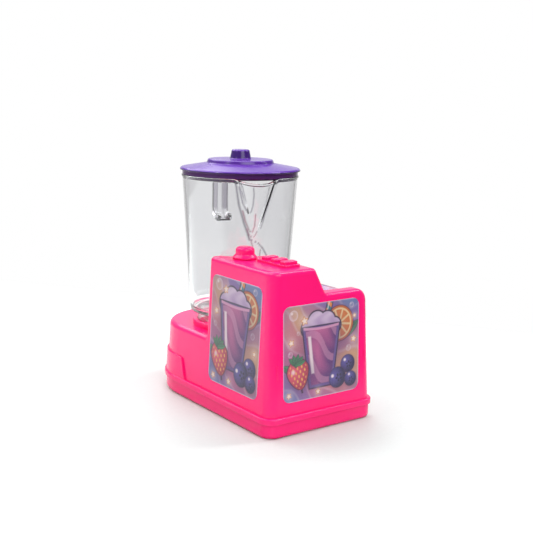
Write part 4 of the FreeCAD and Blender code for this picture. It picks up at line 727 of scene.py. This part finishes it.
def paintLeaf(page, x, y, size, turn):
    dx, dy = page.local(x, y, size, turn)
    body = np.abs(dx) - 0.34 * np.clip(1 - dy * dy, 0, 1) ** 0.8
    away = np.maximum(body, np.abs(dy) - 1)
    page.fill((away - 0.05) * size, "line")
    page.fill(away * size, shadeBetween(0.5 + dx, "leaf", "leafPale"))
    page.fill((np.abs(dx) - 0.03) * size, "leaf", page.inside(away * size))


def paintShadow(page, x, y, size):  # soft dark glow behind a motif
    away = np.hypot(page.x - x, page.y - y) / size
    page.lay(np.clip(1.5 - away, 0, 1) ** 1.5 * 0.75, artColours["shadow"])


def paintBerry(page, x, y, size, turn):
    dx, dy = page.local(x, y, size, turn)
    away = np.hypot(dx, dy)
    light = np.hypot(dx + 0.3, dy - 0.35)
    paintShadow(page, x + 0.1 * size, y - 0.15 * size, size)
    page.fill((away - 1.05) * size, "line")
    page.fill((away - 1) * size, shadeBetween(light * 0.85, "berryPale", "berry"))
    angle = np.arctan2(dx - 0.15, dy + 0.1)
    near = np.hypot(dx - 0.15, dy + 0.1)
    page.fill((near - 0.3 - 0.12 * np.cos(angle * 5)) * size, "crown")
    page.fill((near - 0.16) * size, "berryPale", 0.6, 0.01)
    paintGleam(page, dx, dy, (-0.42, 0.48, 0.16), size, blur=0.008)


def paintStrawberry(page, x, y, size, turn):
    dx, dy = page.local(x, y, size, turn)
    girth = 0.86 * np.sqrt(np.clip(1 - ((dy - 0.12) / 0.98) ** 2, 0, 1)) * (0.8 + 0.3 * np.clip(dy + 0.2, -1, 0.7))
    away = np.maximum(np.abs(dx) - girth, np.abs(dy) - 1.05)
    paintShadow(page, x + 0.1 * size, y - 0.1 * size, size)
    page.fill((away - 0.07) * size, "line")
    light = np.hypot(dx + 0.3, dy - 0.35)
    page.fill(away * size, shadeBetween(light * 0.8, "strawberryPale", "strawberry"))
    row = np.round(dy / 0.26)
    seedX = (dx / 0.34 + 0.5 * (row % 2) + 0.5) % 1 - 0.5
    seedY = dy / 0.26 - row
    seeds = np.hypot(seedX * 0.34 / 0.055, seedY * 0.26 / 0.095) - 1
    page.fill(seeds * 0.06 * size, "seed", page.inside((away + 0.12) * size))
    paintGleam(page, dx, dy, (-0.36, 0.4, 0.13), size, 0.7, 0.02)
    lean = math.radians(turn)
    for spread in (-62, -32, 0, 32, 62):  # the leaves' angles
        tip = math.radians(spread + turn)
        paintLeaf(page, x + size * (0.3 * math.sin(tip) - 0.95 * math.sin(lean)),
                  y + size * (0.78 * math.cos(lean) + 0.22 * math.cos(tip)), size * 0.42, -spread - turn)


def paintSlice(page, x, y, size, turn):
    dx, dy = page.local(x, y, size, turn)
    away = np.hypot(dx, dy)
    paintShadow(page, x, y, size * 1.1)
    for reach, shade in ((1.04, "line"), (1, "rind"), (0.88, "pith")):
        page.fill((away - reach) * size, shade)
    spokes = np.abs((np.arctan2(dy, dx) / math.pi * 4.5 + 0.5) % 1 - 0.5) * away / 4.5 * math.pi
    wedge = np.maximum(away - 0.78, 0.12 - away)
    wedge = np.maximum(wedge, 0.055 - (away * math.pi / 9 - spokes))
    pulp = 0.5 + 0.2 * np.sin(away * 40 + np.arctan2(dy, dx) * 30)
    page.fill(wedge * size, shadeBetween(away * 0.7 + pulp * 0.25, "flesh", "fleshDeep"))
    paintGleam(page, dx, dy, (-0.35, 0.4, 0.16), size, 0.6, 0.02)


def paintTumbler(page, x, y, size, turn):  # a tall glass of berry shake with foam and a straw
    dx, dy = page.local(x, y, size, turn)
    paintShadow(page, x, y + 0.1 * size, size * 0.95)
    lean, strawLean = page.local(x + 0.2 * size, y + 0.98 * size, size, -16.0)
    straw = np.maximum(np.abs(lean) - 0.085, np.abs(strawLean) - 0.62)
    page.fill((straw - 0.03) * size, "line")
    stripe = page.inside((np.abs((strawLean * 4.5 + lean * 2) % 1 - 0.5) - 0.25) * size * 0.2)
    page.fill(straw * size, shadeBetween(stripe, "straw", "strawStripe"))
    page.fill((np.abs(lean + 0.03) - 0.02) * size, "glow", page.inside((straw + 0.02) * size) * 0.6)
    foam = np.full(len(dx), 9.0)
    for px, py, radius in [(-0.44, 0.7, 0.24), (-0.16, 0.84, 0.3), (0.2, 0.82, 0.28), (0.46, 0.68, 0.22)]:
        foam = np.minimum(foam, np.hypot(dx - px, dy - py) - radius)
    curl = 0.5 + 0.5 * np.sin(dx * 13 + 3 * np.sin(dy * 9))
    page.fill((foam - 0.045) * size, "line")
    page.fill(foam * size, shadeBetween(1.25 - dy + 0.25 * curl, "foam", "foamShade"))
    side = np.abs(dx) - (0.52 + 0.14 * dy)
    glass = np.maximum(side, np.maximum(dy - 0.7, -0.95 - dy))
    page.fill((glass - 0.06) * size, "line")
    page.fill((glass - 0.02) * size, "glass")
    swirl = 0.5 + 0.5 * np.sin(dy * 8 + dx * 5 + 1.4 * np.sin(dx * 4 - dy * 2))
    depth = 0.25 + np.abs(dx + 0.12) * 1.2 - 0.35 * dy + 0.3 * swirl
    page.fill((glass + 0.05) * size, shadeBetween(depth, "shake", "shakeDeep"))
    page.fill((glass + 0.06) * size, "shakePale", (swirl > 0.8) * 0.35)
    gleam = np.maximum(np.abs(dx + 0.36 + 0.12 * dy) - 0.05, np.abs(dy + 0.05) - 0.52)
    page.fill(gleam * size, "glow", 0.85, 0.008)
    ring = np.abs(dy - 0.66 - 0.1 * dx * dx) - 0.035
    page.fill(np.maximum(ring, side) * size, "shakePale", 0.8)


painters = {"bubble": paintBubble, "star": paintStar, "leaf": paintLeaf, "berry": paintBerry,
            "strawberry": paintStrawberry, "slice": paintSlice, "tumbler": paintTumbler}
# motifs from back to front: across and up as shares of the label's half width and half height, size, turn
squareLayout = [
    ("bubble", -0.74, 0.8, 0.055, 0), ("bubble", 0.72, -0.06, 0.035, 0), ("bubble", -0.82, 0.0, 0.03, 0),
    ("bubble", 0.8, 0.86, 0.03, 0), ("bubble", -0.62, 0.42, 0.02, 0), ("bubble", 0.2, 0.92, 0.022, 0),
    ("leaf", 0.78, 0.34, 0.13, -50), ("slice", 0.46, 0.5, 0.19, 12), ("tumbler", -0.02, -0.04, 0.38, 0),
    ("leaf", -0.82, -0.34, 0.12, 60), ("strawberry", -0.6, -0.48, 0.17, 14), ("berry", 0.7, -0.4, 0.095, 0),
    ("berry", 0.42, -0.66, 0.11, 30), ("berry", 0.78, -0.74, 0.08, -20), ("star", -0.46, 0.66, 0.055, 10),
    ("star", 0.86, 0.12, 0.045, -14), ("star", -0.8, 0.24, 0.045, 20), ("star", -0.1, -0.88, 0.04, 0),
    ("star", -0.86, -0.86, 0.04, 30), ("star", 0.88, 0.62, 0.03, 8),
]
tallLayout = [
    ("bubble", -0.7, 0.84, 0.07, 0), ("bubble", 0.72, 0.1, 0.04, 0), ("bubble", -0.8, 0.1, 0.035, 0),
    ("bubble", 0.74, 0.88, 0.04, 0), ("bubble", -0.5, 0.62, 0.03, 0), ("leaf", 0.8, 0.42, 0.16, -50),
    ("slice", 0.46, 0.52, 0.22, 12), ("tumbler", -0.02, 0.04, 0.46, 0), ("leaf", -0.8, -0.44, 0.14, 60),
    ("strawberry", -0.54, -0.56, 0.21, 14), ("berry", 0.66, -0.5, 0.12, 0), ("berry", 0.34, -0.66, 0.14, 30),
    ("berry", 0.72, -0.76, 0.1, -20), ("star", -0.42, 0.78, 0.06, 10), ("star", -0.78, 0.34, 0.055, 20),
    ("star", -0.14, -0.88, 0.05, 0), ("star", 0.82, -0.2, 0.04, -14), ("star", -0.8, -0.88, 0.05, 30),
]
frontLayout = [
    ("bubble", -0.6, 0.9, 0.07, 0), ("bubble", 0.66, 0.3, 0.05, 0), ("bubble", -0.74, -0.1, 0.04, 0),
    ("leaf", -0.4, 0.42, 0.18, 40), ("slice", 0.0, 0.38, 0.3, 20), ("strawberry", 0.12, -0.2, 0.27, -12),
    ("leaf", -0.6, -0.42, 0.16, 70), ("berry", -0.34, -0.58, 0.15, 0), ("berry", 0.1, -0.72, 0.17, 30),
    ("berry", 0.5, -0.6, 0.12, -20), ("star", 0.62, 0.64, 0.07, 10), ("star", -0.66, 0.14, 0.06, 20),
    ("star", 0.72, -0.32, 0.05, 0), ("star", -0.7, -0.86, 0.06, 30), ("bubble", 0.7, -0.88, 0.06, 0),
]


def paintArtwork(page, layout):
    paintSky(page)
    for motif, across, up, size, turn in layout:
        painters[motif](page, across * page.wide, up * page.tall, size, turn)


labelLook = {
    "cell": 0.4 * mm, "film": 0.15 * mm, "corner": 6.0 * mm, "rays": 480, "slack": 0.02,
    "margin": 0.9 * mm, "marginShare": 0.7, "paper": colour(214, 196, 222), "screen": 2600.0, "dotShare": 0.06,
    "fibre": 420.0, "fibreShare": 0.04, "fibreTint": colour(120, 96, 140), "rough": (0.34, 0.44),
    "bump": 0.15, "depth": 0.03 * mm,
    "sockets": {"Coat Weight": 0.12, "Coat Roughness": 0.2, "Specular IOR Level": 0.36},
}


def printFilm(name, look):
    material, tree, shader = startMaterial(name, look["sockets"])
    ink = add(tree, "ShaderNodeAttribute", {"attribute_name": "ink"}).outputs["Color"]
    place = inObject(tree)
    screen = add(tree, "ShaderNodeTexVoronoi", Vector=place, Scale=look["screen"])
    fibre = noise(tree, place, look["fibre"], 4.0)
    dots = between(tree, screen.outputs["Distance"], 0.1, 0.6, 0.0, look["dotShare"])
    tint = mixColour(tree, dots, ink, (1.0, 1.0, 1.0, 1.0))
    tint = mixColour(tree, between(tree, fibre, *tightSpan, 0.0, look["fibreShare"]), tint, look["fibreTint"])
    put(tree, tint, shader["Base Color"])
    put(tree, between(tree, fibre, *wideSpan, *look["rough"]), shader["Roughness"])
    addBump(tree, shader, fibre, look)
    return material


labelFilm = printFilm("labelFilm", labelLook)


def outerLine(node, middle, outward):  # the label's outer face in its upright mid-plane, from foot to top
    low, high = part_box(node)
    mesh = nodes[node].data
    tree = BVHTree.FromPolygons([v.co for v in mesh.vertices], [p.vertices for p in mesh.polygons])
    far = (high - low).length + outward.length
    foot = math.atan2(low.z - middle.z, outward.length) - labelLook["slack"]
    spots = []
    for step in range(labelLook["rays"] + 1):
        angle = foot + step * (math.pi - labelLook["slack"]) / labelLook["rays"]
        aim = outward.normalized() * math.cos(angle) + Vector((0, 0, math.sin(angle)))
        spot = tree.ray_cast(middle + aim * far, -aim)[0]
        if spot is not None:
            spots.append(spot)
    return spots


def evenly(spots, step):  # the same line with points a step apart, and how far along it each lies
    lengths = [0.0]
    for before, after in zip(spots, spots[1:]):
        lengths.append(lengths[-1] + (after - before).length)
    wanted = np.linspace(0.0, lengths[-1], round(lengths[-1] / step) + 1)
    columns = [np.interp(wanted, lengths, [spot[axis] for spot in spots]) for axis in range(3)]
    return [Vector(point) for point in zip(*columns)], wanted


def labelSkin(line, runs, halfWidth, along, outward):  # the printed face's grid, then the film's edges behind it
    rows, height, corner = len(line), runs[-1], labelLook["corner"]
    columns = round(2 * halfWidth / labelLook["cell"])
    points, places, faces = [], [], []
    for spot, run in zip(line, runs):
        fromEnd = min(run, height - run)
        lost = corner - math.sqrt(max(corner ** 2 - max(corner - fromEnd, 0.0) ** 2, 0.0))
        for k in range(columns + 1):
            shift = (halfWidth - lost) * (2 * k / columns - 1)
            points.append(spot + along * shift)
            places.append((shift, run - height / 2))
    wide, count = columns + 1, len(points)
    for r in range(rows):
        ahead = line[min(r + 1, rows - 1)] - line[max(r - 1, 0)]
        normal = along.cross(ahead).normalized()
        if normal.dot(outward) < 0:
            normal = -normal
        for k in (0, columns):
            points.append(points[r * wide + k] - normal * labelLook["film"])
    for r in range(rows - 1):
        faces += [(k, k + 1, k + 1 + wide, k + wide) for k in range(r * wide, r * wide + columns)]
    for r in range(rows - 1):
        a, b = r * wide, r * wide + columns
        left, right = count + 2 * r, count + 2 * r + 1
        faces += [(left, left + 2, right + 2, right), (a, a + wide, left + 2, left), (b, right, right + 2, b + wide)]
    last, back = (rows - 1) * wide, count + 2 * rows
    faces.append(tuple(list(range(wide))[::-1] + [count, count + 1]))
    faces.append(tuple(list(range(last, last + wide)) + [back - 1, back - 2]))
    return points, faces, np.array(places)


def makeLabel(name, node, along, outward, depth, layout, lightLevel):
    low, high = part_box(node)
    line, runs = evenly(outerLine(node, (low + high) / 2 - depth, outward), labelLook["cell"])
    halfWidth = abs((high - low).dot(along)) / 2
    points, faces, places = labelSkin(line, runs, halfWidth, along, outward)
    mesh = bpy.data.meshes.new(name)
    mesh.from_pydata(points, [], faces)
    size = min(runs[-1], 2 * halfWidth)
    page = Print(places[:, 0] / size, places[:, 1] / size, halfWidth / size, runs[-1] / 2 / size,
                 labelLook["cell"] / size)
    paintArtwork(page, layout)
    fromEdge = np.minimum(halfWidth - np.abs(places[:, 0]), runs[-1] / 2 - np.abs(places[:, 1]))
    margin = np.clip(1 - fromEdge / labelLook["margin"], 0, 1)[:, None] * labelLook["marginShare"]
    paper = np.array(labelLook["paper"])
    ink = np.tile(paper, (len(points), 1))
    # painted shade: each label's ink is darkened to the light on its face
    ink[:len(places), :3] = page.ink * lightLevel * (1 - margin) + paper[:3] * margin
    mesh.attributes.new("ink", "FLOAT_COLOR", "POINT").data.foreach_set("color", ink.ravel())
    mesh.materials.append(labelFilm)
    mesh.update()
    label = newObject(name, mesh)
    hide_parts(node)
    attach(label, "root")


# each label: along its width, outwards, from a point behind it to its middle, its motifs, and a painted shade that
# darkens its ink, most on the side label
labels = [
    ("sideLabelPrint", "side_label", (0, -1, 0), (-0.1, 0, 0), (-0.1, 0, 0), tallLayout, 0.7),
    ("endLabelPrint", "end_label", (1, 0, 0), (0, -0.1, 0), (0, -0.1, 0), squareLayout, 0.83),
    ("frontLabelPrint", "front_label", (0, 1, 0), (0.04, 0, 0), (0.04, 0, 0.02), frontLayout, 0.83),
]
for name, node, along, outward, depth, layout, lightLevel in labels:
    makeLabel(name, node, Vector(along), Vector(outward), Vector(depth), layout, lightLevel)
print("labels printed")


# stage, light and camera

stageLook = {
    "sheet": [(-1.24, -1.19), (0.38, -0.01), (-0.32, 1.0), (-1.94, -0.22)],
    "floor": colour(195, 200, 199), "floorPale": colour(201, 206, 205),
    "floorGlow": 0.45, "glowFrom": 0.13, "glowTo": 0.42,
    "floorDim": 0.12, "dimNear": (-0.12, -0.26), "dimRight": (0.27, 0.14),
    "overhead": {"place": (-0.05, 0.75, 1.25), "size": (1.7, 1.5), "power": 27.0},
    "nearFill": {"place": (-0.1, -1.1, 1.0), "size": (1.0, 1.0), "power": 14.0},
    "edgeStrip": {"place": (0.8, -0.25, 1.1), "size": (0.2, 1.0), "power": 8.0},
    "keySpot": {"place": (-0.85, -0.02, 0.95), "size": (0.04, 0.04), "power": 2.0},
    "aim": (0, 0, 0.08), "brightSide": (-0.55, 0.83, 0.0), "dim": 0.2, "bright": 0.5,
    "backSide": (0.592, 0.806, 0.0), "back": 0.8, "wallEdge": (-0.7, 0.3), "backEdge": (0.75, 0.93),
}


def makeFloor(look):
    mesh = bpy.data.meshes.new("floor")
    mesh.from_pydata([(x, y, 0) for x, y in look["sheet"]], [], [(0, 1, 2, 3)])
    floor = newObject("floor", mesh)
    material, tree, shader = startMaterial("floorPaper", {"Roughness": 0.6, "Emission Color": (1, 1, 1, 1)})
    place = inObject(tree)
    mirrored = rayIs(tree, "Glossy")  # painted shade seen only in reflections: glossy rays find the floor's near right side dark
    nearSide = between(tree, axisOf(tree, place, "Y"), *look["dimNear"])
    darker = times(tree, nearSide, between(tree, axisOf(tree, place, "X"), *look["dimRight"]))
    dimmed = times(tree, mirrored, darker)
    paper = mixColour(tree, noise(tree, place, 300.0, 3.0), look["floor"], look["floorPale"])
    dark = look["floorDim"]
    put(tree, mixColour(tree, dimmed, paper, (dark, dark, dark, 1.0)), shader["Base Color"])
    # painted light: the floor glows away from the object but not near it, which leaves a painted shade around the
    # object; the glow is off where glossy rays see the floor dark
    away = add(tree, "ShaderNodeVectorMath", {"operation": "LENGTH"})
    put(tree, place, away.inputs[0])
    glow = between(tree, away.outputs["Value"], look["glowFrom"], look["glowTo"], 0.0, look["floorGlow"])
    lit = between(tree, dimmed, 0.0, 1.0, 1.0, 0.0)
    put(tree, times(tree, glow, lit), shader["Emission Strength"])
    mesh.materials.append(material)


def softBox(name, look, aim):
    data = bpy.data.lights.new(name, "AREA")
    data.shape = "RECTANGLE"
    data.size, data.size_y = look["size"]
    data.energy = look["power"]
    lamp = newObject(name, data)
    lamp.location = look["place"]
    lamp.rotation_euler = (Vector(aim) - Vector(look["place"])).to_track_quat("-Z", "Y").to_euler()


def makeLight(look):
    for name in ("overhead", "nearFill", "edgeStrip", "keySpot"):
        softBox(name, look[name], look["aim"])
    world = bpy.data.worlds.new("studio")
    world.use_nodes = True
    tree = world.node_tree
    direction = tree.nodes.new("ShaderNodeTexCoord").outputs["Generated"]
    wall = between(tree, dot(tree, direction, look["brightSide"]), *look["wallEdge"], look["dim"], look["bright"])
    screen = between(tree, dot(tree, direction, look["backSide"]), *look["backEdge"], 0.0, look["back"])
    backdrop = rayIs(tree, "Camera")
    lightLevel = maths(tree, "MAXIMUM", maths(tree, "MAXIMUM", wall, screen), backdrop)
    background = tree.nodes["Background"].inputs
    put(tree, lightLevel, background["Strength"])
    background["Color"].default_value = (1, 1, 1, 1)
    bpy.context.scene.world = world


cameraLook = {"place": (-0.42916, -0.59894, 0.24587), "heading": 36.307, "tilt": 10.516, "roll": 1.294,
              "lens": 62.846, "sensor": 36.0}


def makeCamera(look):
    heading, tilt, roll = (math.radians(look[key]) for key in ("heading", "tilt", "roll"))
    ahead = Vector((math.sin(heading) * math.cos(tilt), math.cos(heading) * math.cos(tilt), -math.sin(tilt)))
    level = Vector((math.cos(heading), -math.sin(heading), 0))
    above = level.cross(ahead)
    side = level * math.cos(roll) + above * math.sin(roll)
    up = above * math.cos(roll) - level * math.sin(roll)
    data = bpy.data.cameras.new("camera")
    data.lens = look["lens"]
    data.sensor_width = look["sensor"]
    camera = newObject("camera", data)
    camera.matrix_world = Matrix.Translation(look["place"]) @ Matrix((side, up, -ahead)).transposed().to_4x4()
    bpy.context.scene.camera = camera


makeFloor(stageLook)
makeLight(stageLook)
makeCamera(cameraLook)
bpy.context.scene.view_settings.view_transform = "Standard"
print("stage ready")
